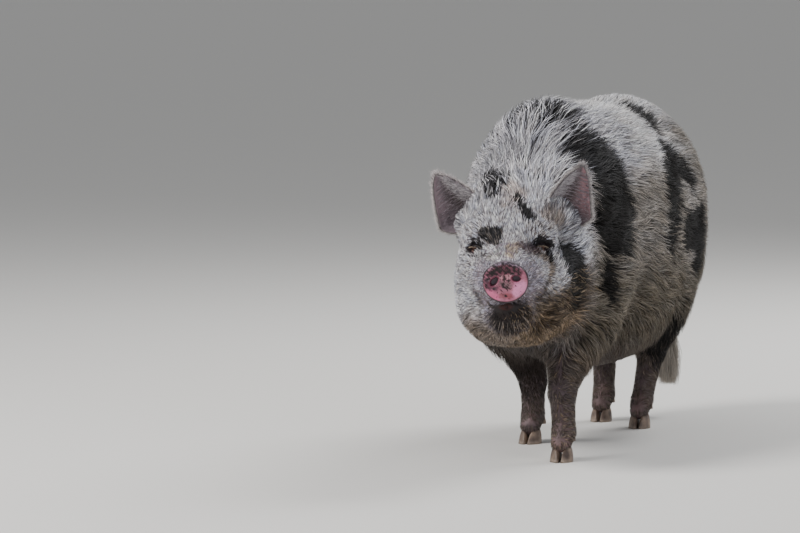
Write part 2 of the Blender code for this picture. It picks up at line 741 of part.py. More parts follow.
def snout(name):
    """The flat disc that ends the snout, with two nostrils going in."""
    place = head_matrix()
    rings = []
    for y, grow in ((0.0120, 0.92), (0.0060, 1.0), (0.0030, 1.0), (0.0006, 0.955),
                    (0.0, 0.86), (0.0012, 0.55)):
        ring = []
        for i in range(24):
            a = 2 * math.pi * i / 24
            x = DISC_RADII[0] * grow * math.cos(a)
            z = DISC_RADII[1] * grow * math.sin(a) * (1 - 0.05 * math.sin(a))
            z += 0.0025 * grow * math.cos(a) ** 2 * (math.sin(a) > 0)
            ring.append(place @ Vector((x, y, z + DISC_RISE)))
        rings.append(ring)
    disc = loft(name, rings)
    holes = []
    for side in (-1, 1):
        at = Matrix.Translation((side * NOSTRIL_AT[0], 0.002, NOSTRIL_AT[1]))
        turn = Euler((math.radians(-14), 0, math.radians(side * 16))).to_matrix().to_4x4()
        holes.append(ellipsoid("nostril", place @ at @ turn, (0.0064, 0.0155, 0.0077), 2))
    cut(disc, holes)
    return disc


def claw(name, at, heading, width, length, height, lean, side):
    """One half of a cloven foot: flat below, rounded in front, higher and narrower behind."""
    rings = []
    for t, wide, high in ((0.0, 0.50, 0.55), (0.12, 0.80, 0.74), (0.40, 1.0, 0.98),
                          (0.68, 0.92, 0.96), (0.90, 0.55, 0.65), (1.0, 0.22, 0.34)):
        ring = []
        for a, b in ((-1, 0), (1, 0), (1.0, 0.40), (0.72, 0.90), (0, 1.04), (-0.72, 0.90),
                     (-1.0, 0.40)):
            toe_in = -side * 0.35 * width * (1 - wide)
            x = a * width / 2 * wide * (1 - 0.10 * b) + toe_in
            y = length * (0.5 - t) + lean * b * high * height
            ring.append(Vector((x, y, b * height * high)))
        rings.append(ring)
    turn = Matrix.Rotation(heading, 4, "Z")
    place = Matrix.Translation(at) @ turn
    return loft(name, [[place @ point for point in ring] for ring in rings])


FOOT_TURN = {"fore_left": 8, "fore_right": 0, "hind_left": 6, "hind_right": 4}


def claws(side, foot, body_grown):
    """The two claws that stand on the floor and the two dewclaws above and behind them."""
    x, y = foot
    found = []
    turn = math.radians(FOOT_TURN[side])
    for name, out in (("inner", -math.copysign(1, x)), ("outer", math.copysign(1, x))):
        shift = Matrix.Rotation(turn, 3, "Z") @ Vector((out * 0.0117, -0.010, 0))
        main = claw(f"claw_{side}_{name}", Vector((x, y, 0)) + shift, turn, 0.0222, 0.050, 0.034,
                    0.35, out)
        shift = Matrix.Rotation(turn, 3, "Z") @ Vector((out * 0.0150, 0.0285, 0.036))
        dew = claw(f"dewclaw_{side}_{name}", Vector((x, y, 0)) + shift, turn, 0.0125, 0.022, 0.015,
                   0.2, out)
        found += [main, dew]
    for made in found:
        cut(made, [body_grown], keep=(body_grown,))
        keep_largest(made)
    return found


def tail(name, body_grown):
    """The tail hangs from the top of the rump and ends in a tassel of locks."""
    path = np.array(TAIL_PATH)
    steps = np.linspace(0, len(path) - 1, 12)
    line = np.stack([np.interp(steps, range(len(path)), path[:, k]) for k in range(3)], 1)
    aside = np.array((1.0, 0.0, 0.0))
    rings = []
    for k, here in enumerate(line):
        ahead = line[min(k + 1, 11)] - line[max(k - 1, 0)]
        up = np.cross(ahead / np.linalg.norm(ahead), aside)
        thick = float(np.interp(k / 11, (0, 0.25, 0.55, 0.75, 0.9, 1), TAIL_RADII))
        rings.append([here + (aside * math.cos(a) + up * math.sin(a)) * thick
                      for a in (2 * math.pi * j / 8 for j in range(8))])
    made = loft(name, rings)
    cut(made, [body_grown], solver="MANIFOLD", keep=(body_grown,))
    keep_largest(made)
    pieces = []
    for j in range(10):
        turn = 2.4 * j
        out = np.array((math.cos(turn), math.sin(turn), 0.0))
        k = 5.5 + 0.42 * j
        start = np.array([np.interp(k, range(12), line[:, axis]) for axis in range(3)])
        points = [start + out * 0.004]
        for drop, off in ((0.030, 0.013), (0.062, 0.018), (0.092, 0.015 - 0.006 * (j % 2))):
            points.append(start + out * off + np.array((0.0, 0.0, -drop * (1.15 - 0.04 * j))))
        pieces.append(lock("lock", points, [out] * 4, 0.016))
    join(made, pieces, "MANIFOLD")
    return made


TAIL_PATH = ((0.004, 0.350, 0.520), (0.006, 0.405, 0.490), (0.012, 0.432, 0.420),
             (0.022, 0.442, 0.330), (0.034, 0.440, 0.240), (0.046, 0.432, 0.160),
             (0.052, 0.426, 0.085))
TAIL_RADII = (0.020, 0.014, 0.008, 0.009, 0.008, 0.004)

NODE_COLOURS = {
    "head": (0.46, 0.45, 0.45), "snout": (0.66, 0.30, 0.34), "neck": (0.45, 0.44, 0.43),
    "torso": (0.44, 0.43, 0.42), "tail": (0.60, 0.58, 0.56), "leg": (0.36, 0.31, 0.31),
    "ear": (0.36, 0.31, 0.31), "eye": (0.05, 0.02, 0.01), "claw": (0.10, 0.08, 0.07),
    "dewclaw": (0.10, 0.08, 0.07),
}


def colour(obj):
    """Gives a node its own material in a flat colour."""
    made = bpy.data.materials.new(obj.name)
    made.use_nodes = True
    shader = made.node_tree.nodes["Principled BSDF"]
    shader.inputs["Base Color"].default_value = (*NODE_COLOURS[obj.name.split("_")[0]], 1)
    shader.inputs["Roughness"].default_value = 0.7
    obj.data.materials.clear()
    obj.data.materials.append(made)


def eye_matrix(side):
    """The frame of an eye: its -Y looks ahead and outwards."""
    at = Vector((side * EYE_AT[0], EYE_AT[1], EYE_AT[2]))
    turn = Matrix.Rotation(math.radians(side * EYE_OUTWARD), 4, "Z")
    return head_matrix() @ Matrix.Translation(at) @ turn


EYE_OUTWARD = 30


def head_features(head):
    """Cuts the eye sockets, the openings of the lids and the mouth into the head."""
    tools = []
    lids = []
    for side in (-1, 1):
        place = eye_matrix(side)
        lids.append(ellipsoid("lid", place, [EYE_RADIUS + 0.0026] * 3))
        tools.append(ellipsoid("socket", place, [EYE_RADIUS + GAP] * 3))
        half, high = LID_OPENING
        rings = []
        for y, grow in ((0.0, 0.75), (-0.0105, 1.0), (-0.030, 1.9)):
            ring = []
            for i in range(16):
                a = 2 * math.pi * i / 16
                lens = math.copysign(abs(math.sin(a)) ** 1.2, math.sin(a))
                ring.append(place @ Vector((half * grow * math.cos(a), y, high * grow * lens)))
            rings.append(ring)
        tools.append(loft("opening", rings))
    join(head, lids, "MANIFOLD")
    tools.append(mouth())
    tools.append(seat_of_snout())
    cut(head, tools, solver="MANIFOLD")


def mouth():
    """A thin wedge that follows the lips back from under the snout, turned up at its corners."""
    place = head_matrix()
    rings = []
    for k in range(25):
        a = math.radians(-90 + 180 * k / 24)
        x = 0.058 * math.sin(a)
        y = 0.100 - 0.074 * math.cos(a)
        z = -0.0425 + 0.020 * abs(math.sin(a)) ** 3
        away = Vector((math.sin(a), -math.cos(a), -0.15)).normalized()
        at = Vector((x, y, z))
        half = 0.0012 + 0.0010 * math.cos(a)
        ring = [at - away * 0.012, at + away * 0.03 + Vector((0, 0, -3 * half)),
                at + away * 0.03 + Vector((0, 0, 3 * half))]
        rings.append([place @ point for point in ring])
    return loft("mouth", rings)


def seat_of_snout():
    """What the disc's node takes out of the head, with the gap round it."""
    place = head_matrix()
    rings = []
    for y, grow in ((-0.08, 1.6), (0.0120 + GAP, 1.6)):
        rings.append([place @ Vector((DISC_RADII[0] * grow * math.cos(a), y,
                                      DISC_RISE + DISC_RADII[1] * grow * math.sin(a)))
                      for a in (2 * math.pi * i / 32 for i in range(32))])
    return loft("seat", rings)


def move_all(objects, by):
    for obj in objects:
        obj.data.transform(Matrix.Translation(by))


def main():
    for old in list(bpy.data.objects):
        bpy.data.objects.remove(old)
    body = flesh("body", 0.011, 2200, CORE_SHARE)
    fine = flesh("fine", 0.0070, 40000, CORE_SHARE)
    cut(fine, [head_cell(0.06)], "INTERSECT")
    keep_largest(fine)
    thin_out(fine, 2900)
    clear = grown(body, 2 * GAP)
    nodes = []

    head = new_object("head", fine.data.copy())
    cut(head, [head_cell()], "INTERSECT", "MANIFOLD")
    head_features(head)
    keep_largest(head)
    add_locks(head, 0.055)
    nodes.append(head)
    nodes.append(snout("snout"))
    head_grown = grown(fine, 2 * GAP)
    for side, name in ((1, "left"), (-1, "right")):
        made = ear("ear_" + name, side)
        cut(made, [head_grown], solver="MANIFOLD", keep=(head_grown,))
        keep_largest(made)
        nodes.append(made)
        nodes.append(ellipsoid("eye_" + name, eye_matrix(side), [EYE_RADIUS] * 3))

    neck = new_object("neck", body.data.copy())
    cut(neck, [front_cell()], "INTERSECT")
    cut(neck, [head_cell(GAP)])
    add_locks(neck, 0.066)
    nodes.append(neck)

    torso = new_object("torso", body.data.copy())
    cut(torso, [front_cell(GAP), head_cell(GAP)])
    cells = [leg_cell("cell", FEET[side], *LEG_CELLS[side], by=GAP) for side in FEET]
    cut(torso, cells)
    add_locks(torso, 0.079)
    nodes.append(torso)
    for side in FEET:
        leg = new_object("leg_" + side, body.data.copy())
        cut(leg, [leg_cell("cell", FEET[side], *LEG_CELLS[side])], "INTERSECT")
        nodes.append(leg)
        nodes += claws(side, FEET[side], clear)
    nodes.append(tail("tail", clear))
    for old in (body, fine, clear, head_grown):
        bpy.data.objects.remove(old)
    for node in nodes:
        keep_largest(node)
        colour(node)
    move_all(nodes, ORIGIN_SHIFT)


if __name__ == "__main__":
    main()
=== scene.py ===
"""Looks of a kunekune pig standing mid stride, its head turned a little to its left.

Lengths are metres. The pig faces -Y and its left side is +X. The body is worked out in a frame
whose Y is zero half way between the feet, and moved by SHIFT into the frame of the model.
"""
import math

import bmesh
import bpy
import numpy as np
from mathutils import Euler, Matrix, Quaternion, Vector
from mathutils.kdtree import KDTree


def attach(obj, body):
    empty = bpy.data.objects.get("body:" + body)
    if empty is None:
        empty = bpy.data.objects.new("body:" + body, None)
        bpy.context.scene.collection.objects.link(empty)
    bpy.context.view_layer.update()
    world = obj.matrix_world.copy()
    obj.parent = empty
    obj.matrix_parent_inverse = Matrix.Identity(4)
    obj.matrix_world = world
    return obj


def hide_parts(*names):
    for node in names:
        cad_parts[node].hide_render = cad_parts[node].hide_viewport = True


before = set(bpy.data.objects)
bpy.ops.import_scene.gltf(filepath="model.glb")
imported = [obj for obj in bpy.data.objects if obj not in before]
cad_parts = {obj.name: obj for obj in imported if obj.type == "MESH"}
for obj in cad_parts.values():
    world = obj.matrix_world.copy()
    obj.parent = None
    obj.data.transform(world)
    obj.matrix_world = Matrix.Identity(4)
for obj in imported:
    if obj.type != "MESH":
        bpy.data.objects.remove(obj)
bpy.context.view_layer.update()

SHIFT = np.array((0.0, 0.1213, 0.0))

# The form of the flesh

# The middle of the snout's disc in the working frame, and the head's turn and roll in degrees.
SNOUT_AT = Vector((0.073, -0.700, 0.367))
HEAD_YAW = 15.5
HEAD_ROLL = -1.1
# The left eyeball in head coordinates, and how many degrees it looks outwards.
EYE_AT = np.array((0.0556, 0.1180, 0.0530))
EYE_RADIUS = 0.0120
EYE_OUTWARD = 30
# Half the width and half the height of the opening between the lids.
LID_OPENING = (0.0114, 0.0040)
# Half the width and half the height of the snout's disc, and its middle above the head's origin.
DISC_RADII = (0.0432, 0.0385)
DISC_RISE = 0.0002
EAR_LENGTH = 0.1145
EAR_HALF_WIDTH = 0.0570
# The left ear (1) and the right (-1): where it is rooted in head coordinates, and the degrees
# that it leans forwards, leans outwards and turns its hollow outwards.
EARS = {
    1: ((0.094, 0.231, 0.095), (4, 20, 25)),
    -1: ((0.0785, 0.231, 0.0927), (4, 32, 2)),
}
# The middle of each foot's pair of claws on the floor, and the degrees that the foot turns.
FEET = {
    "fore_left": (0.085, -0.400),
    "fore_right": (-0.066, -0.135),
    "hind_left": (0.062, 0.190),
    "hind_right": (-0.050, 0.285),
}
FOOT_TURN = {"fore_left": 8, "fore_right": 0, "hind_left": 6, "hind_right": 4}


def head_matrix():
    """Takes head coordinates (X left, Y back from the snout's disc, Z up) to the working frame."""
    turn = Euler((0, math.radians(HEAD_ROLL), math.radians(HEAD_YAW)), "XYZ").to_matrix()
    return Matrix.Translation(SNOUT_AT) @ turn.to_4x4()


HEAD = np.array(head_matrix())
HEAD_INVERSE = np.linalg.inv(HEAD)


def times(matrix, p):
    """Points carried by a 4 x 4 matrix."""
    return p @ matrix[:3, :3].T + matrix[:3, 3]


def in_head(p):
    """Head coordinates of points in the working frame."""
    return times(HEAD_INVERSE, p)


def about_z(angle):
    """A turn about Z as a 4 x 4 matrix."""
    return np.array(Matrix.Rotation(angle, 4, "Z"))


def ball(centre, radii, blend, place=np.eye(4)):
    """An ellipsoid mass, as its inverse placing, its radii and its blend."""
    shift = np.eye(4)
    shift[:3, 3] = centre
    return ("ball", np.linalg.inv(place @ shift), np.array(radii), blend)


def limb(a, b, radius_a, radius_b, blend, place=np.eye(4)):
    """A round tapering mass from a to b."""
    a, b = (times(place, np.array([point]))[0] for point in (a, b))
    return ("limb", (a, b - a), (radius_a, radius_b - radius_a), blend)


def pair(centre, radii, blend, place=np.eye(4)):
    """Two ellipsoid masses, mirrored from side to side."""
    x, y, z = centre
    return [ball((x, y, z), radii, blend, place), ball((-x, y, z), radii, blend, place)]


def ear_root(side):
    """The fleshy base that an ear grows from."""
    x, y, z = EARS[side][0]
    start, end = (side * 0.045, y + 0.004, 0.072), (side * (x - 0.004), y + 0.004, z - 0.002)
    return limb(start, end, 0.036, 0.026, 0.03, HEAD)


def foreleg(foot):
    """Shoulder, forearm, shank and foot as bars; the knee follows the foot by about two thirds."""
    x, y = foot
    out = math.copysign(1.0, x)
    elbow = (out * 0.080, -0.235 + 0.25 * (y + 0.26), 0.265)
    knee = (x * 0.88 - out * 0.004, y * 0.66 + elbow[1] * 0.34, 0.128)
    fetlock = (x, y + 0.012, 0.055)
    toe = (x, y - 0.006, 0.036)
    return [
        limb((out * 0.078, -0.215, 0.36), elbow, 0.076, 0.056, 0.04),
        limb(elbow, knee, 0.052, 0.0245, 0.035),
        limb(knee, fetlock, 0.0240, 0.0200, 0.012),
        limb(fetlock, toe, 0.0205, 0.0190, 0.010),
    ]


def hindleg(foot):
    """Thigh, second thigh, shank and foot as bars; the stifle follows the foot by three tenths."""
    x, y = foot
    out = math.copysign(1.0, x)
    stifle = (out * 0.090, 0.185 + 0.3 * (y - 0.24), 0.285)
    hock = (x * 0.8 + out * 0.02, y + 0.052, 0.150)
    fetlock = (x, y + 0.014, 0.055)
    toe = (x, y - 0.006, 0.036)
    return [
        limb((out * 0.070, 0.250, 0.36), stifle, 0.072, 0.062, 0.04),
        limb(stifle, hock, 0.056, 0.0255, 0.04),
        limb(hock, fetlock, 0.0240, 0.0195, 0.012),
        limb(fetlock, toe, 0.0200, 0.0185, 0.010),
    ]


TRUNK = [
    ball((0, 0.03, 0.418), (0.177, 0.345, 0.238), 0.04),
    ball((0, 0.04, 0.310), (0.150, 0.300, 0.165), 0.05),
    ball((0, 0.222, 0.463), (0.165, 0.176, 0.207), 0.04),
    *pair((0.067, 0.258, 0.368), (0.076, 0.138, 0.180), 0.04),
    ball((0, -0.215, 0.472), (0.118, 0.185, 0.196), 0.05),
    *pair((0.066, -0.235, 0.400), (0.078, 0.135, 0.180), 0.04),
    ball((0, -0.300, 0.340), (0.105, 0.135, 0.130), 0.05),
    limb((0, -0.26, 0.500), (0.020, -0.440, 0.445), 0.114, 0.092, 0.05),
    ball((0.068, -0.430, 0.370), (0.064, 0.115, 0.105), 0.05),
    ball((-0.012, -0.425, 0.372), (0.062, 0.115, 0.105), 0.05),
]
FACE = [
    limb((0, 0.026, 0.004), (0, 0.060, 0.010), 0.0355, 0.041, 0.02, HEAD),
    ball((0, 0.088, 0.002), (0.069, 0.058, 0.046), 0.025, HEAD),
    ball((0, 0.072, -0.055), (0.037, 0.056, 0.030), 0.02, HEAD),
    ball((0, 0.135, -0.065), (0.058, 0.080, 0.050), 0.04, HEAD),
    ball((0, 0.112, 0.048), (0.050, 0.062, 0.040), 0.03, HEAD),
    ball((0, 0.195, 0.060), (0.078, 0.100, 0.086), 0.03, HEAD),
    ball((0, 0.185, 0.102), (0.060, 0.075, 0.048), 0.04, HEAD),
    *pair((0.051, 0.140, 0.061), (0.031, 0.030, 0.033), 0.025, HEAD),
    *pair((0.052, 0.140, 0.086), (0.030, 0.026, 0.018), 0.03, HEAD),
    ball((0, 0.255, 0.120), (0.060, 0.075, 0.062), 0.05, HEAD),
    *pair((0.056, 0.165, 0.000), (0.044, 0.068, 0.060), 0.035, HEAD),
    *pair((0.044, 0.192, -0.049), (0.046, 0.076, 0.062), 0.04, HEAD),
    ball((0, 0.215, -0.030), (0.072, 0.100, 0.086), 0.05, HEAD),
    *[ear_root(side) for side in EARS],
]
LEGS = [
    *foreleg(FEET["fore_left"]),
    *foreleg(FEET["fore_right"]),
    *hindleg(FEET["hind_left"]),
    *hindleg(FEET["hind_right"]),
]


def mass_distance(p, mass):
    """Nearly the distance from an ellipsoid, or the distance from a tapering round bar."""
    kind, place, sizes, _ = mass
    if kind == "ball":
        q = times(place, p) / sizes
        k0 = np.sqrt((q * q).sum(1))
        q /= sizes
        return k0 * (k0 - 1.0) / np.maximum(np.sqrt((q * q).sum(1)), 1e-9)
    a, along = place
    off = p - a
    t = np.clip(off @ along / (along @ along), 0.0, 1.0)
    off -= t[:, None] * along
    return np.sqrt((off * off).sum(1)) - (sizes[0] + sizes[1] * t)


def flesh_distance(p):
    """Distance from the bare skin: the smooth union of the masses, taken in order."""
    found = np.full(len(p), 1.0)
    near = {
        "trunk": np.ones(len(p), bool),
        "face": p[:, 1] < -0.16,
        "legs": p[:, 2] < 0.52,
    }
    for group, masses in (("trunk", TRUNK), ("face", FACE), ("legs", LEGS)):
        pick = np.flatnonzero(near[group])
        if not len(pick):
            continue
        q, value = p[pick], found[pick]
        for mass in masses:
            other = mass_distance(q, mass)
            h = np.maximum(mass[3] - np.abs(value - other), 0.0) / mass[3]
            value = np.minimum(value, other) - h * h * mass[3] / 4.0
        found[pick] = value
    return found


def flesh_slope(p, step=0.0008):
    """Gradient of the distance from the skin, by central differences."""
    return np.stack([(flesh_distance(p + axis) - flesh_distance(p - axis)) / (2.0 * step)
                     for axis in np.eye(3) * step], axis=1)


def unit(v):
    """Vectors brought to a length of one."""
    return v / np.maximum(np.sqrt((v * v).sum(-1)), 1e-9)[..., None]


def smooth_step(low, high, value):
    """0 below low, 1 above high and a smooth rise between."""
    t = np.clip((value - low) / (high - low), 0.0, 1.0)
    return t * t * (3.0 - 2.0 * t)


def mix(a, b, share):
    """The share of the way from a to b."""
    return a + (b - a) * share


def eye_distance(h, side):
    """Distance from the middle of an eyeball, in head coordinates."""
    return np.linalg.norm(h - EYE_AT * (side, 1, 1), axis=1)


def in_shares(h, middle, half_sizes):
    """Distance from a middle in shares of half sizes, which is 1 on the ellipsoid they give."""
    return np.linalg.norm((h - middle) / half_sizes, axis=1)


def coat_depth(p):
    """How far the tips of the coat stand off the skin, by place: deepest along the crest."""
    h = in_head(p)
    crest = smooth_step(0.52, 0.64, p[:, 2]) * smooth_step(0.10, -0.14, p[:, 1])
    trunk = 0.020 + 0.014 * crest + 0.003 * smooth_step(0.32, 0.22, p[:, 2])
    trunk = mix(0.003, trunk, smooth_step(0.13, 0.25, p[:, 2]))
    rise = smooth_step(0.09, 0.24, h[:, 1])
    face = 0.0015 + 0.0125 * rise + 0.012 * rise * smooth_step(0.10, 0.17, h[:, 2])
    face += 0.008 * smooth_step(0.04, 0.12, h[:, 1]) * smooth_step(-0.03, -0.08, h[:, 2])
    for side in (-1, 1):
        face = mix(0.0010, face, smooth_step(0.014, 0.050, eye_distance(h, side)))
    near = smooth_step(0.36, 0.24, h[:, 1]) * smooth_step(-0.20, -0.15, h[:, 2])
    return mix(trunk, face, near)


def lie(p, normal):
    """Which way the hair lies: out from the snout over the head, then back and down."""
    h = in_head(p)
    near = smooth_step(0.34, 0.22, h[:, 1]) * smooth_step(-0.22, -0.14, h[:, 2])
    away = unit(p - times(HEAD, np.array([(0, -0.03, -0.01)]))[0])
    back = np.zeros_like(p)
    back[:, 1] = 1.0
    back[:, 0] = 0.12 * np.sign(p[:, 0]) * smooth_step(0.0, 0.06, np.abs(p[:, 0]))
    back[:, 2] = -0.30 - 2.2 * smooth_step(0.26, 0.42, p[:, 1])
    back[:, 2] -= 1.6 * smooth_step(0.30, 0.20, p[:, 2]) * smooth_step(0.6, -0.2, normal[:, 2])
    back[:, 2] += 0.35 * smooth_step(0.50, 0.62, p[:, 2]) * smooth_step(0.0, -0.2, p[:, 1])
    way = mix(back, away * 1.3, near[:, None])
    return unit(way - normal * (way * normal).sum(1)[:, None])


def way_off(points, height):
    """How far points are off the skin raised by a height, as vectors, and the gradient there."""
    g = flesh_slope(points)
    gap = flesh_distance(points) - height
    return gap[:, None] * g / np.maximum((g * g).sum(1), 0.05)[:, None], g


def to_level(points, height, rounds=1):
    """Moves points onto the skin raised by a height of their own; also returns the normals."""
    for _ in range(rounds):
        off, g = way_off(points, height)
        points = points - off
    return points, unit(g)


def ripple(p, size, seed):
    """Smooth noise from -1 to 1: the mean of seven seeded sine waves about size long."""
    rng = np.random.default_rng(seed)
    way = unit(rng.normal(size=(7, 3))) * rng.uniform(0.7, 1.5, (7, 1)) * 2 * math.pi / size
    return np.clip(np.sin(p @ way.T + rng.uniform(0, 6.283, 7)).mean(1) * 1.8, -1, 1)


# Colours and markings


def linear(code):
    """An sRGB hex colour as linear red, green and blue."""
    c = np.array([int(code[i:i + 2], 16) for i in (1, 3, 5)]) / 255.0
    return np.where(c <= 0.04045, c / 12.92, ((c + 0.055) / 1.055) ** 2.4)


def shades(**codes):
    """Named colours in linear light."""
    return {name: linear(code) for name, code in codes.items()}


def tint(tone, colour, share):
    """Tones drawn towards a colour by a share for each point."""
    return mix(tone, colour, np.reshape(share, (-1, 1)))


# Hair colours. The olive, dun, jaw and leg tones are darkened in part as painted shade.
HAIR = shades(
    black="#0f0d0f", silver="#d3d1d8", pale="#d6d3d3", olive="#393229", dun="#6a6153",
    flank="#877e70", brown="#7c6a55", jaw="#857b75", lilac="#9c93a3", dark="#231b19",
    leg="#6b615b", sandy="#94816a", whisker="#a79b92", lash="#cdbca6", tassel="#c9c1b6",
)
# Skin colours. The shin tone is darkened in part as painted shade under the body.
SKIN = shades(
    grey="#453c3f", pale="#85757b", pink="#947674", black="#1c191b", lilac="#71666f",
    head="#4a4447", chin="#17100f", lip="#4c2723", socket="#4a3a3c", shin="#54484b",
    lid_edge="#8d6b60", lid="#584b4f", lid_upper="#231d20", lid_lower="#2c2427",
    eye_corner="#1d1618",
)

# Dark marks: frame, squeeze of X, softness, strength, and a chain of points with radii; the mark in the
# right eye's socket is painted shade.
MARKS = {
    "shoulder": ("body", 0.6, 0.030, 1.0, [
        (0.150, -0.262, 0.470, 0.090), (0.135, -0.250, 0.535, 0.088), (0.104, -0.272, 0.590, 0.050),
        (0.084, -0.340, 0.580, 0.028)]),
    "crest": ("body", 0.8, 0.050, 0.72, [
        (0.016, -0.255, 0.672, 0.050), (0.055, -0.268, 0.652, 0.048), (0.090, -0.285, 0.612, 0.034)]),
    "crest_right": ("body", 0.7, 0.060, 0.62, [
        (-0.060, -0.225, 0.640, 0.060), (-0.120, -0.200, 0.560, 0.090)]),
    "cheek_band": ("body", 0.8, 0.014, 1.0, [
        (0.123, -0.520, 0.423, 0.014), (0.131, -0.489, 0.400, 0.030), (0.136, -0.458, 0.374, 0.041),
        (0.136, -0.440, 0.342, 0.040), (0.131, -0.446, 0.312, 0.024)]),
    "elbow": ("body", 0.6, 0.016, 1.0, [
        (0.143, -0.305, 0.352, 0.030), (0.148, -0.292, 0.318, 0.027)]),
    "loin": ("body", 0.8, 0.018, 1.0, [
        (0.050, 0.158, 0.658, 0.022), (0.078, 0.145, 0.642, 0.030), (0.105, 0.125, 0.615, 0.022)]),
    "hip_upper": ("body", 0.6, 0.020, 1.0, [
        (0.138, 0.085, 0.582, 0.024), (0.152, 0.115, 0.556, 0.036), (0.166, 0.158, 0.520, 0.032)]),
    "flank_stripe": ("body", 0.5, 0.020, 1.0, [
        (0.158, 0.075, 0.545, 0.040), (0.174, 0.040, 0.505, 0.042), (0.183, 0.012, 0.462, 0.038),
        (0.185, 0.000, 0.416, 0.030), (0.182, -0.004, 0.385, 0.020)]),
    "haunch": ("body", 0.5, 0.020, 1.0, [
        (0.186, 0.095, 0.415, 0.040), (0.176, 0.205, 0.412, 0.056), (0.172, 0.205, 0.360, 0.046)]),
    "stifle": ("body", 0.7, 0.030, 0.9, [
        (0.122, 0.140, 0.212, 0.036), (0.110, 0.195, 0.185, 0.042), (0.100, 0.240, 0.145, 0.030)]),
    "flank_right": ("body", 0.6, 0.025, 0.95, [
        (-0.150, -0.020, 0.560, 0.060), (-0.172, 0.040, 0.470, 0.052)]),
    "rump_right": ("body", 0.7, 0.025, 0.95, [
        (-0.130, 0.290, 0.480, 0.070), (-0.120, 0.320, 0.400, 0.060)]),
    "shoulder_right": ("body", 0.6, 0.025, 0.95, [
        (-0.148, -0.280, 0.420, 0.070), (-0.130, -0.330, 0.350, 0.050)]),
    "belly_right": ("body", 0.6, 0.025, 0.8, [
        (-0.165, 0.050, 0.310, 0.050), (-0.160, 0.120, 0.330, 0.045)]),
    "hip_right": ("body", 0.8, 0.022, 0.9, [
        (-0.110, 0.205, 0.600, 0.040), (-0.140, 0.240, 0.555, 0.040)]),
    "brow_spot": ("head", 1.0, 0.011, 1.0, [
        (-0.038, 0.095, 0.086, 0.0160), (-0.026, 0.086, 0.081, 0.0205), (-0.018, 0.067, 0.067, 0.0100)]),
    "brow_line_right": ("head", 1.0, 0.007, 0.86, [
        (-0.074, 0.111, 0.062, 0.006), (-0.063, 0.104, 0.068, 0.009), (-0.048, 0.092, 0.061, 0.007)]),
    # Painted shade in the hollow of the right eye's socket, laid on coat and skin as a faint dark mark.
    "socket_right_shade": ("head", 1.0, 0.010, 0.45, [
        (-0.066, 0.104, 0.050, 0.013), (-0.048, 0.080, 0.048, 0.010)]),
    "brow_line_left": ("head", 1.0, 0.007, 1.0, [
        (0.050, 0.095, 0.062, 0.006), (0.066, 0.106, 0.068, 0.009), (0.084, 0.122, 0.059, 0.006)]),
    "eye_tail_left": ("head", 1.0, 0.008, 0.9, [
        (0.077, 0.110, 0.044, 0.008), (0.083, 0.113, 0.033, 0.007)]),
    "eye_corner_right": ("head", 1.0, 0.008, 0.7, [
        (-0.051, 0.085, 0.045, 0.005), (-0.038, 0.059, 0.046, 0.006)]),
    "forehead_right": ("head", 1.0, 0.030, 0.85, [
        (-0.038, 0.260, 0.192, 0.014), (-0.030, 0.200, 0.178, 0.019), (-0.022, 0.160, 0.160, 0.013)]),
    "forehead_left": ("head", 1.0, 0.018, 1.0, [
        (0.020, 0.148, 0.154, 0.006), (0.031, 0.124, 0.131, 0.012), (0.040, 0.116, 0.117, 0.012)]),
    "temple_right": ("head", 1.0, 0.006, 0.8, [
        (-0.096, 0.140, 0.061, 0.007)]),
    "jaw_left": ("head", 1.0, 0.020, 0.7, [
        (0.112, 0.230, 0.062, 0.018)]),
}

# Tints of the head's coat: reach, colour, share, and a chain of points with radii on the head; some are
# painted shade.
TINTS = {
    "left_cheek": (0.011, "#7c6a55", 0.85, [
        (0.061, 0.096, 0.044, 0.003), (0.071, 0.101, 0.036, 0.004), (0.082, 0.109, 0.026, 0.005),
        (0.083, 0.107, 0.013, 0.005), (0.080, 0.099, -0.003, 0.004)]),
    "bridge": (0.012, "#b39c80", 0.75, [
        (0.009, 0.048, 0.061, 0.006), (0.008, 0.036, 0.049, 0.006)]),
    "bridge_left": (0.011, "#b39a82", 0.8, [
        (0.018, 0.055, 0.064, 0.004), (0.029, 0.062, 0.064, 0.004)]),
    "inner_corner_left": (0.010, "#46363d", 0.95, [
        (0.031, 0.064, 0.061, 0.006), (0.041, 0.072, 0.057, 0.008), (0.051, 0.089, 0.053, 0.008)]),
    "bridge_right": (0.012, "#a8a58e", 0.5, [
        (-0.020, 0.040, 0.046, 0.005), (-0.034, 0.050, 0.036, 0.005)]),
    "forehead": (0.020, "#b29c8c", 0.55, [
        (0.006, 0.169, 0.168, 0.012), (0.017, 0.154, 0.157, 0.012), (0.004, 0.129, 0.144, 0.010)]),
    "ear_foot_left": (0.020, "#a89078", 0.55, [
        (0.074, 0.150, 0.111, 0.012), (0.090, 0.192, 0.112, 0.014)]),
    # Painted shade in the creases at the corners of the mouth.
    "mouth_crease_left_shade": (0.010, "#2c211b", 0.92, [
        (0.072, 0.088, -0.013, 0.003), (0.066, 0.090, -0.027, 0.005), (0.054, 0.080, -0.038, 0.007)]),
    "mouth_crease_right_shade": (0.009, "#3a3033", 0.85, [
        (-0.061, 0.080, -0.024, 0.002), (-0.055, 0.083, -0.036, 0.004), (-0.042, 0.060, -0.040, 0.005)]),
    # Painted shade on the left jowl, over its own dark brown.
    "jaw_left": (0.040, "#3a2d23", 0.85, [
        (0.066, 0.111, -0.081, 0.020), (0.093, 0.142, -0.066, 0.020), (0.114, 0.199, -0.052, 0.020),
        (0.136, 0.271, -0.039, 0.020)]),
}


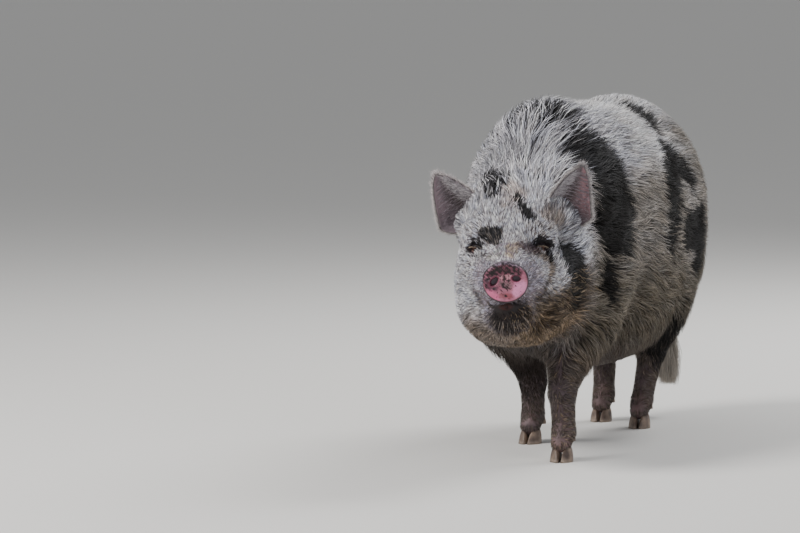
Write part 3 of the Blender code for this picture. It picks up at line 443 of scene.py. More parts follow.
def chain_distance(p, chain, squeeze=1.0):
    """Least of the distances to a chain of spheres joined by tapering bars, less their radii."""
    scale = np.array((squeeze, 1.0, 1.0))
    chain = np.array(chain)
    q, at, radius = p * scale, chain[:, :3] * scale, chain[:, 3]
    if len(chain) == 1:
        return np.linalg.norm(q - at[0], axis=1) - radius[0]
    found = np.full(len(p), 1.0)
    for k in range(len(chain) - 1):
        along = at[k + 1] - at[k]
        t = np.clip((q - at[k]) @ along / (along @ along), 0.0, 1.0)
        away = np.linalg.norm(q - at[k] - t[:, None] * along, axis=1)
        found = np.minimum(found, away - mix(radius[k], radius[k + 1], t))
    return found


def dark_share(p):
    """How black the coat and skin are at each point, 0 to 1, with ragged edges to the marks, and painted
    shade in the right eye's socket.
    """
    h = in_head(p)
    found = np.zeros(len(p))
    for k, (where, squeeze, soft, strength, chain) in enumerate(MARKS.values()):
        q = h if where == "head" else p
        edge = 0.35 * soft * ripple(p, 0.030, 40 + k) + 0.25 * soft * ripple(p, 0.011, 80 + k)
        away = chain_distance(q, chain, squeeze) + edge
        found = np.maximum(found, strength * smooth_step(0.5 * soft, -0.5 * soft, away))
    return found


def leg_share(p):
    """1 on the shanks and feet, fading out below the elbows and the stifles."""
    return smooth_step(0.24, 0.15, p[:, 2])


def which_leg(p):
    """How much a point belongs to the foreleg on the pig's right, whose darker coat is partly painted
    shade.
    """
    x, y = FEET["fore_right"]
    away = np.hypot(p[:, 0] - x, p[:, 1] - y - 0.15 * np.maximum(p[:, 2] - 0.05, 0))
    return smooth_step(0.150, 0.085, away)


def head_share(h):
    """1 on the head, fading out behind the ears and below the throat."""
    return smooth_step(0.34, 0.26, h[:, 1]) * smooth_step(-0.22, -0.15, h[:, 2])


def below_elbow(p):
    """1 below the elbows and the stifles, fading out at them."""
    return smooth_step(0.30, 0.24, p[:, 2])


def trunk_hair(p, rest, wide):
    """Silver, paler on the back, olive low down and dun on the rump, both partly painted shade, and
    grey-brown on the left.
    """
    back = smooth_step(-0.14, 0.0, p[:, 1]) * smooth_step(0.40, 0.56, p[:, 2])
    tone = tint(HAIR["silver"], HAIR["pale"], back * 0.8 * rest)
    # Painted shade on the underside, over the belly's own olive-brown: the coat darkens low down.
    low = smooth_step(0.44, 0.30, p[:, 2] + 0.03 * wide)
    tone = tint(tone, HAIR["olive"], low * 0.92 * rest)
    # Painted shade on the rump, over its own dun: the rear of the body darkens.
    rump_dun_and_shade = smooth_step(0.06, 0.26, p[:, 1]) * smooth_step(0.66, 0.56, p[:, 2] - 0.3 * p[:, 0])
    tone = tint(tone, HAIR["dun"], 0.85 * rump_dun_and_shade * rest)
    side = smooth_step(0.60, 0.50, p[:, 2]) * smooth_step(0.06, 0.14, p[:, 0])
    return tint(tone, HAIR["flank"], 0.8 * side * rest * (1 - rump_dun_and_shade))


def head_hair(tone, p, h, near, wide):
    """Brown jowls that rise to the left and a darker jaw below, both partly painted shade, the small
    tints, a lilac snout and a dark chin.
    """
    # Painted shade under the jaw, over its own grey-brown: the coat darkens low on the jowls.
    under = smooth_step(-0.050, -0.105, h[:, 2] + 0.012 * wide) * 0.75
    tone = tint(tone, HAIR["jaw"], under * near)
    # The jowls' own brown, stronger and higher on the left partly as painted shade.
    lean = 0.35 * np.maximum(h[:, 0], 0.0) + 0.42 * np.minimum(h[:, 0], 0.0)
    jowl = smooth_step(-0.02, -0.09, h[:, 2] + 0.02 * wide - lean)
    jowl = jowl * mix(0.55, 0.90, smooth_step(-0.05, 0.05, h[:, 0]))
    tone = tint(tone, HAIR["brown"], jowl * near)
    edge = 0.004 * ripple(p, 0.012, 61)
    for reach, code, share, chain in TINTS.values():
        inside = smooth_step(reach, 0.0, chain_distance(h, chain) + edge)
        tone = tint(tone, linear(code), share * near * inside)
    lilac = smooth_step(0.095, 0.050, h[:, 1]) * smooth_step(0.048, 0.028, h[:, 2]) * near
    tone = tint(tone, HAIR["lilac"], lilac * 0.7)
    chin = in_shares(h, (0.006, 0.060, -0.072), (0.046, 0.070, 0.040))
    return tint(tone, HAIR["dark"], 0.97 * smooth_step(1.25, 0.80, chin + 0.1 * wide))


def hair_colour(p, chance=None):
    """The coat's colour by place: trunk, then head, then legs, then the black marks.

    With a chance for each point, a point in a dark mark is wholly black or not at all, so that
    black and pale hairs mix at the mark's edge.
    """
    h = in_head(p)
    near = head_share(h)
    wide = ripple(p, 0.25, 3)
    tone = head_hair(trunk_hair(p, 1 - near, wide), p, h, near, wide)
    # The legs' grey-brown, partly painted shade under the body, and the right foreleg darker still, also
    # partly painted shade.
    tone = tint(tone, HAIR["leg"], leg_share(p) * 0.8)
    foreleg_dark_and_shade = 0.85 * which_leg(p) * smooth_step(0.05, 0.12, p[:, 2]) * below_elbow(p)
    tone = tint(tone, HAIR["dark"], foreleg_dark_and_shade)
    black = dark_share(p)
    if chance is not None:
        black = 0.97 * (black > chance)
    return tint(tone, HAIR["black"], black)


def grizzle(p):
    """The share of dark bristles among the pale ones: most on the crest, none on the legs."""
    h = in_head(p)
    crest = smooth_step(0.52, 0.66, p[:, 2]) * smooth_step(0.02, -0.10, p[:, 1])
    crest = crest * smooth_step(-0.06, 0.02, p[:, 0])
    face = smooth_step(0.30, 0.18, h[:, 1])
    muzzle = smooth_step(0.10, 0.05, h[:, 1])
    flank = smooth_step(0.56, 0.50, p[:, 2]) * smooth_step(0.05, 0.12, p[:, 0])
    share = mix(0.13 + 0.24 * crest + 0.12 * flank, 0.16, face) * (1 - 0.6 * muzzle)
    return share * (1 - leg_share(p))


def golden(p):
    """The share of sandy bristles, by place: on the jowls and below the neck."""
    h = in_head(p)
    near = smooth_step(0.34, 0.24, h[:, 1])
    return 0.32 * near * (smooth_step(-0.02, -0.07, h[:, 2] - 0.3 * np.maximum(h[:, 0], 0))
                          * smooth_step(-0.02, 0.06, h[:, 0]))


def skin_colour(p):
    """The skin's colour by place: grey-pink, lilac on the muzzle, dark under the dark marks."""
    h = in_head(p)
    near = head_share(h)
    tone = tint(SKIN["grey"], SKIN["pale"], np.clip(0.25 + 0.35 * ripple(p, 0.09, 5), 0, 1))
    tone = tint(tone, SKIN["head"], 0.8 * near)
    muzzle = smooth_step(0.11, 0.05, h[:, 1]) * near
    tone = tint(tone, SKIN["lilac"], muzzle * 0.9)
    pale = np.clip(0.5 + 0.5 * ripple(p, 0.05, 6), 0, 1) * smooth_step(0.14, 0.05, p[:, 2])
    tone = tint(tone, SKIN["pink"], (0.1 + 0.6 * pale) * leg_share(p))
    chin = in_shares(h, (0.0, 0.050, -0.060), (0.044, 0.055, 0.034))
    tone = tint(tone, SKIN["chin"], 0.97 * smooth_step(1.3, 0.85, chin))
    lip = in_shares(h, (-0.001, 0.020, -0.0475), (0.013, 0.02, 0.006))
    spots = 0.75 + 0.25 * ripple(p, 0.006, 62)
    tone = tint(tone, SKIN["lip"], 0.80 * spots * smooth_step(1.4, 0.6, lip))
    for side in (-1, 1):
        socket = smooth_step(0.030, 0.016, eye_distance(h, side))
        tone = tint(tone, SKIN["socket"], 0.85 * socket)
    # Painted shade under the body, over the skin's own grey: the shins darken.
    shin = 0.8 * leg_share(p) * smooth_step(0.04, 0.14, p[:, 2]) * below_elbow(p)
    tone = tint(tone, SKIN["shin"], shin)
    return tint(tone, SKIN["black"], 0.9 * dark_share(p))


# Materials


def add(tree, kind, links=None, **settings):
    """Adds a node, sets its properties or named inputs, and links its inputs from sockets."""
    made = tree.nodes.new(kind)
    for name, value in settings.items():
        if hasattr(made, name):
            setattr(made, name, value)
        else:
            made.inputs[name.replace("_", " ")].default_value = value
    for name, socket in (links or {}).items():
        tree.links.new(socket, made.inputs[name])
    return made


def cells(size):
    """The scale of a texture whose cells are about this many millimetres wide."""
    return 1000.0 / size


def material(name, **sockets):
    """A new Principled material with its uniform sockets set: (material, tree, shader)."""
    made = bpy.data.materials.new(name)
    made.use_nodes = True
    tree = made.node_tree
    shader = tree.nodes["Principled BSDF"]
    for socket, value in sockets.items():
        shader.inputs[socket.replace("_", " ")].default_value = value
    return made, tree, shader


def bumped(tree, shader, sockets, distance, strength):
    """Sums height sockets with weights and turns them into bump of a size in metres."""
    total = None
    for socket, weight in sockets:
        part = add(tree, "ShaderNodeMath", {0: socket}, operation="MULTIPLY")
        part.inputs[1].default_value = weight
        if total is None:
            total = part.outputs[0]
        else:
            total = add(tree, "ShaderNodeMath", {0: total, 1: part.outputs[0]},
                        operation="ADD").outputs[0]
    bump = add(tree, "ShaderNodeBump", {"Height": total}, Strength=strength, Distance=distance)
    tree.links.new(bump.outputs["Normal"], shader.inputs["Normal"])


def toned(tree, shader, noise, low, high):
    """Base colour: the piece's own tone attribute, lightened and darkened by a noise."""
    tone = add(tree, "ShaderNodeAttribute", attribute_name="tone")
    level = add(tree, "ShaderNodeMapRange", {"Value": noise}, To_Min=low, To_Max=high)
    mixed = add(tree, "ShaderNodeVectorMath", {0: tone.outputs["Color"]}, operation="SCALE")
    tree.links.new(level.outputs["Result"], mixed.inputs["Scale"])
    tree.links.new(mixed.outputs[0], shader.inputs["Base Color"])


def pig_skin(name="pig_skin", roughness=0.55):
    """Pig skin: matt and slightly oily, with fine creases, pores and a soft mottle.

    The creases are 2.4 mm apart and the pores 1.1 mm wide, drawn coarser than in life to show.
    """
    made, tree, shader = material(name, Roughness=roughness, IOR=1.42, Specular_IOR_Level=0.4)
    place = add(tree, "ShaderNodeTexCoord").outputs["Object"]
    creases = add(tree, "ShaderNodeTexVoronoi", {"Vector": place}, Scale=cells(2.381),
                  feature="DISTANCE_TO_EDGE")
    pores = add(tree, "ShaderNodeTexNoise", {"Vector": place}, Scale=cells(1.1111), Detail=3.0)
    mottle = add(tree, "ShaderNodeTexNoise", {"Vector": place}, Scale=cells(16.667), Detail=5.0)
    toned(tree, shader, mottle.outputs["Fac"], 0.72, 1.25)
    bumped(tree, shader, [(creases.outputs["Distance"], 0.6), (pores.outputs["Fac"], 0.4)],
           0.0006, 0.7)
    return made


def coarse_hair():
    """Pig bristle: coarse, dry keratin hair, nearly matt, flecked every 1.4 mm."""
    made, tree, shader = material("coarse_hair", Roughness=0.62, IOR=1.55, Specular_IOR_Level=0.10)
    place = add(tree, "ShaderNodeTexCoord").outputs["Object"]
    flecks = add(tree, "ShaderNodeTexNoise", {"Vector": place}, Scale=cells(1.4286), Detail=2.0)
    toned(tree, shader, flecks.outputs["Fac"], 0.70, 1.30)
    return made


# Meshes


def piece(name, points, faces, finish, tone=None, turn=None, uv=None):
    """A mesh object from an array of points and one of triangles."""
    mesh = bpy.data.meshes.new(name)
    mesh.vertices.add(len(points))
    mesh.vertices.foreach_set("co", (points + SHIFT).astype(np.float32).ravel())
    mesh.loops.add(faces.size)
    mesh.loops.foreach_set("vertex_index", faces.astype(np.int32).ravel())
    mesh.polygons.add(len(faces))
    mesh.polygons.foreach_set("loop_start", np.arange(0, faces.size, 3, dtype=np.int32))
    mesh.update(calc_edges=True)
    mesh.validate()
    return dressed(name, mesh, finish, tone, turn, uv)


def dressed(name, mesh, finish, tone=None, turn=None, uv=None):
    """Gives a mesh its tone, turn off an axis, map and finish, and puts it on the model."""
    if tone is not None:
        layer = mesh.attributes.new("tone", "FLOAT_COLOR", "POINT")
        layer.data.foreach_set("color", np.c_[tone, np.ones(len(tone))].astype(np.float32).ravel())
    if turn is not None:
        layer = mesh.attributes.new("turn", "FLOAT", "POINT")
        layer.data.foreach_set("value", turn.astype(np.float32))
    if uv is not None:
        corners = np.empty(len(mesh.loops), np.int32)
        mesh.loops.foreach_get("vertex_index", corners)
        layer = mesh.uv_layers.new(name="OFBake")
        layer.data.foreach_set("uv", uv[corners].astype(np.float32).ravel())
    mesh.polygons.foreach_set("use_smooth", np.ones(len(mesh.polygons), bool))
    mesh.materials.append(finish)
    made = bpy.data.objects.new(name, mesh)
    bpy.context.scene.collection.objects.link(made)
    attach(made, "root")
    return made


def grid_faces(rows, columns):
    """Triangles between rows of points, each row closed round, two to each cell of the grid."""
    r = np.arange(rows - 1)[:, None]
    c = np.arange(columns)[None]
    d = (c + 1) % columns
    quads = np.stack([r * columns + c, r * columns + d, (r + 1) * columns + d,
                      (r + 1) * columns + c], -1).reshape(-1, 4)
    return np.concatenate([quads[:, [0, 1, 2]], quads[:, [0, 2, 3]]])


def turned_out(points, faces):
    """The triangles, flipped if they enclose a negative volume."""
    a, b, c = points[faces[:, 0]], points[faces[:, 1]], points[faces[:, 2]]
    volume = (a * np.cross(b, c)).sum()
    return faces if volume > 0 else faces[:, ::-1]


def tube(rings):
    """A closed body through an array of rings (rows, columns, 3), with a fan over each end."""
    rows, columns, _ = rings.shape
    points = np.concatenate([rings.reshape(-1, 3), rings[[0, -1]].mean(1)])
    n = rows * columns
    i = np.arange(columns)
    j = (i + 1) % columns
    faces = np.concatenate([
        grid_faces(rows, columns),
        np.stack([j, i, np.full(columns, n)], 1),
        np.stack([n - columns + i, n - columns + j, np.full(columns, n + 1)], 1)])
    return points, turned_out(points, faces)


# The skin

SKIN_VOXEL = 0.0066
# A point of the skin moves at most this far in one round of settling.
LONGEST_MOVE = 0.012
# The skin of the snout is cut off flat this far behind the disc.
DISC_BACK = 0.0118


def seeds():
    """Rough balls along every mass, fused into one closed mesh by a voxel grid."""
    bm = bmesh.new()
    for kind, place, sizes, _ in TRUNK + FACE + LEGS:
        if kind == "ball":
            shape = Matrix(np.linalg.inv(place).tolist()) @ Matrix.Diagonal((*sizes, 1.0))
            bmesh.ops.create_icosphere(bm, subdivisions=3, radius=1.0, matrix=shape)
            continue
        a, along = place
        for t in np.linspace(0.0, 1.0, 9):
            shape = Matrix.Translation(a + along * t)
            bmesh.ops.create_icosphere(bm, subdivisions=2, radius=sizes[0] + sizes[1] * t,
                                       matrix=shape)
    mesh = bpy.data.meshes.new("seeds")
    bm.to_mesh(mesh)
    bm.free()
    rough = bpy.data.objects.new("seeds", mesh)
    bpy.context.scene.collection.objects.link(rough)
    fuse = rough.modifiers.new("fuse", "REMESH")
    fuse.mode = "VOXEL"
    fuse.voxel_size = SKIN_VOXEL
    graph = bpy.context.evaluated_depsgraph_get()
    fused = bpy.data.meshes.new_from_object(rough.evaluated_get(graph))
    bpy.data.objects.remove(rough)
    return fused


def coordinates(mesh):
    """The mesh's points as an array."""
    found = np.empty(len(mesh.vertices) * 3)
    mesh.vertices.foreach_get("co", found)
    return found.reshape(-1, 3)


def refine(mesh, wanted):
    """Halves every edge whose two ends are wanted."""
    keep = wanted(coordinates(mesh))
    bm = bmesh.new()
    bm.from_mesh(mesh)
    edges = [e for e in bm.edges if keep[e.verts[0].index] and keep[e.verts[1].index]]
    bmesh.ops.subdivide_edges(bm, edges=edges, cuts=1, use_grid_fill=True)
    bm.to_mesh(mesh)
    bm.free()


def settle(mesh, rounds):
    """Moves the mesh onto the skin in rounds, each after drawing points to their neighbours."""
    points = coordinates(mesh)
    ends = np.empty(len(mesh.edges) * 2, np.int64)
    mesh.edges.foreach_get("vertices", ends)
    a, b = ends.reshape(-1, 2).T
    count = np.bincount(np.r_[a, b], minlength=len(points))[:, None]
    for _ in range(rounds):
        total = np.stack([np.bincount(a, points[b, k], len(points))
                          + np.bincount(b, points[a, k], len(points)) for k in range(3)], 1)
        points = points * 0.4 + total / count * 0.6
        off, _ = way_off(points, 0.0)
        size = np.linalg.norm(off, axis=1)[:, None]
        points -= off * np.minimum(1.0, LONGEST_MOVE / np.maximum(size, 1e-9))
    return to_level(points, 0.0)


def eye_frame(side):
    """The frame of an eye, whose -Y looks ahead and outwards."""
    place = np.array(Matrix.Translation(Vector(EYE_AT * (side, 1, 1))))
    return HEAD @ place @ about_z(math.radians(side * EYE_OUTWARD))


# The spacing of the snout's rings, and the depths of the mouth's crease and the eyes' hollows.
SNOUT_RING = 0.0125
LIP_CREASE = 0.0060
EYE_HOLLOW = 0.0130


def lip_line(count=60):
    """The line of the mouth in head coordinates: round under the snout, up at its corners."""
    a = np.radians(np.linspace(-90, 90, count))
    return np.stack([0.058 * np.sin(a), 0.100 - 0.074 * np.cos(a),
                     -0.0425 + 0.020 * np.abs(np.sin(a)) ** 3], 1)


def furrow(away, width):
    """1 in the middle of a furrow or ridge, falling off as a bell over its width."""
    return np.exp(-(away / width) ** 2)


def relief(p):
    """Height of the skin's folds: snout rings, lips, the hollows and rings of the eyes."""
    h = in_head(p)
    face = smooth_step(0.30, 0.22, h[:, 1]) * smooth_step(-0.20, -0.14, h[:, 2])
    top = smooth_step(-0.012, 0.018, h[:, 2]) * smooth_step(0.016, 0.026, h[:, 1])
    wave = np.sin(2 * math.pi * (h[:, 1] + 0.12 * np.abs(h[:, 0]) ** 1.3) / SNOUT_RING)
    high = 0.0011 * wave * top * smooth_step(0.078, 0.060, h[:, 1])
    away = np.full(len(p), 1.0)
    near = np.flatnonzero((h[:, 1] < 0.13) & (np.abs(h[:, 2] + 0.03) < 0.03))
    gaps = np.linalg.norm(h[near][:, None] - lip_line()[None], axis=2)
    away[near] = gaps.min(1)
    high -= LIP_CREASE * furrow(away, 0.0024)
    high += 0.0016 * furrow(away - 0.007, 0.004)
    for side in (-1, 1):
        e = times(np.linalg.inv(eye_frame(side)), p)
        ring = np.hypot(e[:, 0] / 0.026, e[:, 2] / 0.021)
        front = e[:, 1] < 0.004
        high -= EYE_HOLLOW * smooth_step(0.94, 0.62, ring) * front
        high += 0.0011 * np.sin((ring - 1.0) * 13.0) * furrow(ring - 1.35, 0.35) * front
        cheek = [(side * 0.080, 0.118, 0.034, 0.0), (side * 0.079, 0.112, 0.004, 0.0),
                 (side * 0.074, 0.110, -0.026, 0.0)]
        high -= 0.0035 * furrow(chain_distance(h, cheek), 0.006)
    brow = furrow(h[:, 1] - 0.155, 0.03) * smooth_step(0.09, 0.12, h[:, 2])
    high += 0.0010 * np.sin(h[:, 0] * 420) * brow * furrow(h[:, 0], 0.03)
    return high * face


def make_skin(finish):
    """One closed skin over trunk, head and legs, finer on the head and finest on the face."""
    mesh = seeds()
    refine(mesh, lambda p: (in_head(p)[:, 1] < 0.26) & (in_head(p)[:, 2] > -0.14))
    refine(mesh, lambda p: (in_head(p)[:, 1] < 0.135) & (in_head(p)[:, 2] > -0.10))
    points, normals = settle(mesh, 5)
    points = points + normals * relief(points)[:, None]
    h = in_head(points)
    h[:, 1] = np.maximum(h[:, 1], DISC_BACK)
    points = times(HEAD, h)
    mesh.vertices.foreach_set("co", (points + SHIFT).astype(np.float32).ravel())
    mesh.name = "skin"
    mesh.update()
    made = dressed("skin", mesh, finish, skin_colour(points))
    bpy.context.view_layer.objects.active = made
    made.select_set(True)
    bpy.ops.object.mode_set(mode="EDIT")
    bpy.ops.mesh.select_all(action="SELECT")
    bpy.ops.uv.smart_project(angle_limit=math.radians(66), island_margin=0.002)
    bpy.ops.object.mode_set(mode="OBJECT")
    made.select_set(False)
    mesh.uv_layers[0].name = "OFBake"
    return made


class Ground:
    """The skin's triangles, with their corners, map corners, areas and normals, to root hair on."""

    def __init__(self, points, triangles, uv):
        self.corners = points[triangles]
        self.uv = uv
        side = np.cross(self.corners[:, 1] - self.corners[:, 0],
                        self.corners[:, 2] - self.corners[:, 0])
        self.area = np.linalg.norm(side, axis=1) / 2
        self.normal = unit(side)
        self.middle = self.corners.mean(1)

    def scatter(self, rng, weight):
        """Random places, as many to each triangle as its area times its weight, on average."""
        load = self.area * weight
        count = int(load.sum())
        steps = (np.arange(count) + rng.uniform(0, 1, count)) / count
        pick = np.searchsorted(np.cumsum(load) / load.sum(), steps)
        pick = np.minimum(pick, len(load) - 1)
        a, b = rng.uniform(size=(2, count))
        over = a + b > 1
        a[over], b[over] = 1 - a[over], 1 - b[over]
        share = np.stack([1 - a - b, a, b], 1)[:, :, None]
        return ((self.corners[pick] * share).sum(1), self.normal[pick],
                (self.uv[pick] * share).sum(1))


def ground_of(obj):
    """The triangles of a piece as ground for hair."""
    mesh = obj.data
    mesh.calc_loop_triangles()
    n = len(mesh.loop_triangles)
    triangles = np.empty(n * 3, np.int32)
    mesh.loop_triangles.foreach_get("vertices", triangles)
    loops = np.empty(n * 3, np.int32)
    mesh.loop_triangles.foreach_get("loops", loops)
    uv = np.empty(len(mesh.loops) * 2)
    mesh.uv_layers["OFBake"].data.foreach_get("uv", uv)
    points = coordinates(mesh) - SHIFT
    return Ground(points, triangles.reshape(-1, 3), uv.reshape(-1, 2)[loops].reshape(-1, 3, 2))


# The coat

# No piece of the coat has more triangles than this.
MOST_TRIANGLES = 190000
# How far up its rise each point of a tuft is, from root to tip.
TUFT_HEIGHTS = (0.0, 0.72, 1.0)
# How light a tuft is at shares of its length: dark at the root as painted shade deep in the coat, light
# at the tip as painted light.
SHADE_PLACES = (0, 0.4, 1)
SHADE = (0.42, 0.92, 1.20)
# How wide a tuft is at shares of its length, in shares of its width.
WIDTH_PLACES = (0, 0.35, 0.75, 1)
WIDTHS = (0.75, 1.0, 0.62, 0.0)
# One tuft in so many leads a lock, and draws in the tufts within a reach.
LOCK_TUFTS = 11
LOCK_REACH = 0.022
# The width of one tuft's patch on the map.
MAP_PATCH = 0.003


def spikes(paths, facing, half, thick):
    """Closed three-sided tufts along paths (n, k, 3): rings at all points but the last, the tip."""
    n, k, _ = paths.shape
    ahead = unit(np.gradient(paths, axis=1))
    aside = unit(np.cross(ahead, facing))
    wide = np.interp(np.linspace(0, 1, k), WIDTH_PLACES, WIDTHS)
    rings = paths[:, :-1, None] + np.stack([
        direction[:, :-1] * (size[:, None] * wide[:-1])[..., None]
        for direction, size in ((aside, half), (facing, thick), (-aside, half))], 2)
    points = np.concatenate([rings.reshape(n, -1, 3), paths[:, -1:]], 1)
    stride = 3 * (k - 1) + 1
    form = [(0, 1, 2)]
    for r in range(k - 2):
        for c in range(3):
            d = (c + 1) % 3
            low, high = 3 * r, 3 * r + 3
            form += [(low + c, high + c, high + d), (low + c, high + d, low + d)]
    form += [(stride - 4 + c, stride - 1, stride - 4 + (c + 1) % 3) for c in range(3)]
    form = turned_out(points[0] - points[0].mean(0), np.array(form))
    faces = (np.arange(n)[:, None, None] * stride + form[None]).reshape(-1, 3)
    return points, faces


def tuft_map(roots_uv, k):
    """Each tuft's own small patch of the map, round its root's place on the skin's unwrap."""
    side = np.tile((np.arange(3) / 2 - 0.5) * MAP_PATCH, k - 1)
    along = np.repeat((np.arange(k - 1) / (k - 1) - 0.5) * MAP_PATCH, 3)
    patch = np.stack([np.r_[side, 0.0], np.r_[along, 0.5 * MAP_PATCH]], 1)
    return roots_uv[:, None] + patch[None]


def coat_pieces(name, paths, facing, half, thick, tone, uv, finish):
    """Makes the tufts, with painted shade at the root and painted light at the tip, in as many pieces as
    their triangles need.
    """
    k = paths.shape[1]
    # One triangle at the base, six to each section between rings, and three at the tip.
    most = MOST_TRIANGLES // (1 + 6 * (k - 2) + 3)
    shade = np.interp(np.linspace(0, 1, k), SHADE_PLACES, SHADE)
    shade = np.r_[np.repeat(shade[:-1], 3), shade[-1]]
    for part, start in enumerate(range(0, len(paths), most)):
        rows = slice(start, start + most)
        points, faces = spikes(paths[rows], facing[rows], half[rows], thick[rows])
        colours = np.clip(tone[rows][:, None] * shade[None, :, None], 0, 1).reshape(-1, 3)
        label = name if len(paths) <= most else f"{name}_{part + 1}"
        piece(label, points.reshape(-1, 3), faces, finish, colours,
              uv=tuft_map(uv[rows], k).reshape(-1, 2))


def bare(p):
    """Places without hair: the disc, round the eyes' openings, the lips and the claws."""
    h = in_head(p)
    found = (h[:, 1] < 0.014) & (np.abs(h[:, 2]) < 0.06)
    for side in (-1, 1):
        e = times(np.linalg.inv(eye_frame(side)), p)
        high = np.where(e[:, 2] > 0, 0.0098, 0.0125)
        found |= (np.hypot(e[:, 0] / 0.0155, e[:, 2] / high) < 1) & (e[:, 1] < 0.01)
    found |= (np.abs(h[:, 0]) < 0.018) & (np.abs(h[:, 2] + 0.047) < 0.0050) & (h[:, 1] < 0.06)
    found |= p[:, 2] < 0.030
    return found


def sown(ground, rng, spacing, chosen):
    """Roots on the chosen part of the ground, set apart by a spacing that goes by the depth."""
    depth = coat_depth(ground.middle)
    weight = chosen(depth) * ~bare(ground.middle) / spacing(depth) ** 2
    roots, normals, uv = ground.scatter(rng, weight)
    order = np.argsort(roots[:, 1])
    return roots[order], normals[order], uv[order]


def combed(roots, normals, depth, face, rng):
    """The tufts' paths and the ways they face: each walks along the lie, swayed and curled."""
    count, k = len(roots), len(TUFT_HEIGHTS)
    long = (0.0075 + (2.10 + 1.9 * face) * depth) * rng.uniform(0.70, 1.22, count)
    lift = mix(rng.uniform(0.55, 1.0, count), 1.04, 0.35 * smooth_step(0.012, 0.020, depth))
    lift *= 1 + (0.30 * smooth_step(0.09, 0.16, roots[:, 0]) * smooth_step(-0.05, 0.10, roots[:, 1])
                 * smooth_step(0.22, 0.34, roots[:, 2]))
    sway = 0.42 * ripple(roots, 0.075, 11) + 0.22 * ripple(roots, 0.024, 12)
    sway += rng.normal(0, 0.12, count)
    curl = 0.30 * ripple(roots, 0.05, 13) + rng.normal(0, 0.10, count)
    points, facing = roots, normals
    path, turned = [roots - normals * 0.0012], [normals]
    for step, height in enumerate(TUFT_HEIGHTS[1:]):
        way = lie(points, facing)
        turn = (sway + curl * step)[:, None]
        way = way * np.cos(turn) + np.cross(facing, way) * np.sin(turn)
        points = points + way * (long / (k - 1))[:, None]
        points, facing = to_level(points, depth * height * lift)
        path.append(points)
        turned.append(facing)
    return np.stack(path, 1), np.stack(turned, 1)


def nearest_leaders(roots, rng):
    """The nearest leader of a lock to each root."""
    leaders = np.arange(0, len(roots), LOCK_TUFTS)
    leaders = leaders[rng.permutation(len(leaders))]
    tree = KDTree(len(leaders))
    for i, leader in enumerate(leaders):
        tree.insert(roots[leader], i)
    tree.balance()
    return leaders[[tree.find(root)[1] for root in roots]]


def gathered(path, roots, near, depth, rng):
    """The paths drawn towards their leaders', most at the tip and least where hair is longest."""
    loose = 1 - 0.6 * smooth_step(0.024, 0.032, depth)
    pull = np.linspace(0, 1, path.shape[1]) ** 1.3 * 0.52
    pull = pull[None, :, None] * (rng.uniform(0.3, 1.0, len(roots)) * loose)[:, None, None]
    reach = np.linalg.norm(roots[near] - roots, axis=1)
    pull = pull * (reach < LOCK_REACH)[:, None, None]
    return path + (path[near] - path) * pull


def tuft_tones(seen, near, face, rng):
    """The tufts' colours: by place, lighter or darker by lock and by tuft, a few dark or sandy."""
    count, gold = len(seen), golden(seen)
    tone = hair_colour(seen, rng.uniform(0.05, 0.98, count))
    lock = 1.0 + rng.uniform(-1, 1, count)[near] * (mix(0.22, 0.32, face) + 0.7 * gold)
    rough = 0.36 + 0.22 * face + 0.5 * gold + 0.20 * leg_share(seen)
    single = np.clip(np.exp(rng.normal(0, 1, count) * rough), 0.30, 1.7)
    dark = mix(0.26, 0.55, face)
    single *= np.where(rng.uniform(size=count) < grizzle(seen), dark, 1.0)
    tone = tint(tone, HAIR["sandy"], (rng.uniform(size=count) < gold) * 0.85)
    tone = tone * (lock * single)[:, None]
    warm = rng.uniform(-0.05, 0.05, count)[near]
    return np.clip(tone * (1 + np.outer(warm, (1.0, 0.2, -1.0))), 0, 1)


def grow(name, ground, rng, spacing, chosen, finish):
    """Tufts over the chosen part of the skin, along the lie, drawn together into locks."""
    roots, normals, uv = sown(ground, rng, spacing, chosen)
    depth = coat_depth(roots)
    face = smooth_step(0.36, 0.24, in_head(roots)[:, 1]) * smooth_step(0.22, 0.30, roots[:, 2])
    path, facing = combed(roots, normals, depth, face, rng)
    near = nearest_leaders(roots, rng)
    path = gathered(path, roots, near, depth, rng)
    half = (0.00040 + 0.0160 * depth) * rng.uniform(0.70, 1.25, len(roots)) * (1 + 0.25 * face)
    seen = path[:, 1] * 0.6 + path[:, 2] * 0.4
    tone = tuft_tones(seen, near, face, rng)
    coat_pieces(name, path, facing, half, half * 0.55, tone, uv, finish)


def whiskers(name, ground, rng, finish):
    """Single stiff hairs: sparse round the muzzle and above the eyes, pale and curved."""
    h = in_head(ground.middle)
    muzzle = 0.4 * smooth_step(0.10, 0.06, h[:, 1]) * smooth_step(0.020, 0.030, h[:, 1])
    brow = (np.abs(h[:, 2] - 0.085) < 0.010) & (h[:, 1] < 0.15) & (np.abs(h[:, 0]) > 0.03)
    weight = (muzzle + 0.8 * brow) / 0.0062 ** 2 * ~bare(ground.middle)
    roots, normals, uv = ground.scatter(rng, weight)
    long = rng.uniform(0.010, 0.022, len(roots))[:, None, None]
    combing = lie(roots, normals)
    way = unit(combing + normals * 0.9 + rng.normal(0, 0.18, roots.shape))
    sag = np.array((0, 0, -1.0))
    t = np.linspace(0, 1, 4)[None, :, None]
    path = roots[:, None] - normals[:, None] * 0.001 + way[:, None] * long * t
    path = path + (combing[:, None] * 0.3 + sag * 0.15) * long * t ** 2
    half = rng.uniform(0.00022, 0.00034, len(roots))
    tone = HAIR["whisker"] * rng.uniform(0.6, 1.2, (len(roots), 1))
    facing = np.repeat(normals[:, None], 4, axis=1)
    coat_pieces(name, path, facing, half, half, tone, uv, finish)


# Eyes and lids


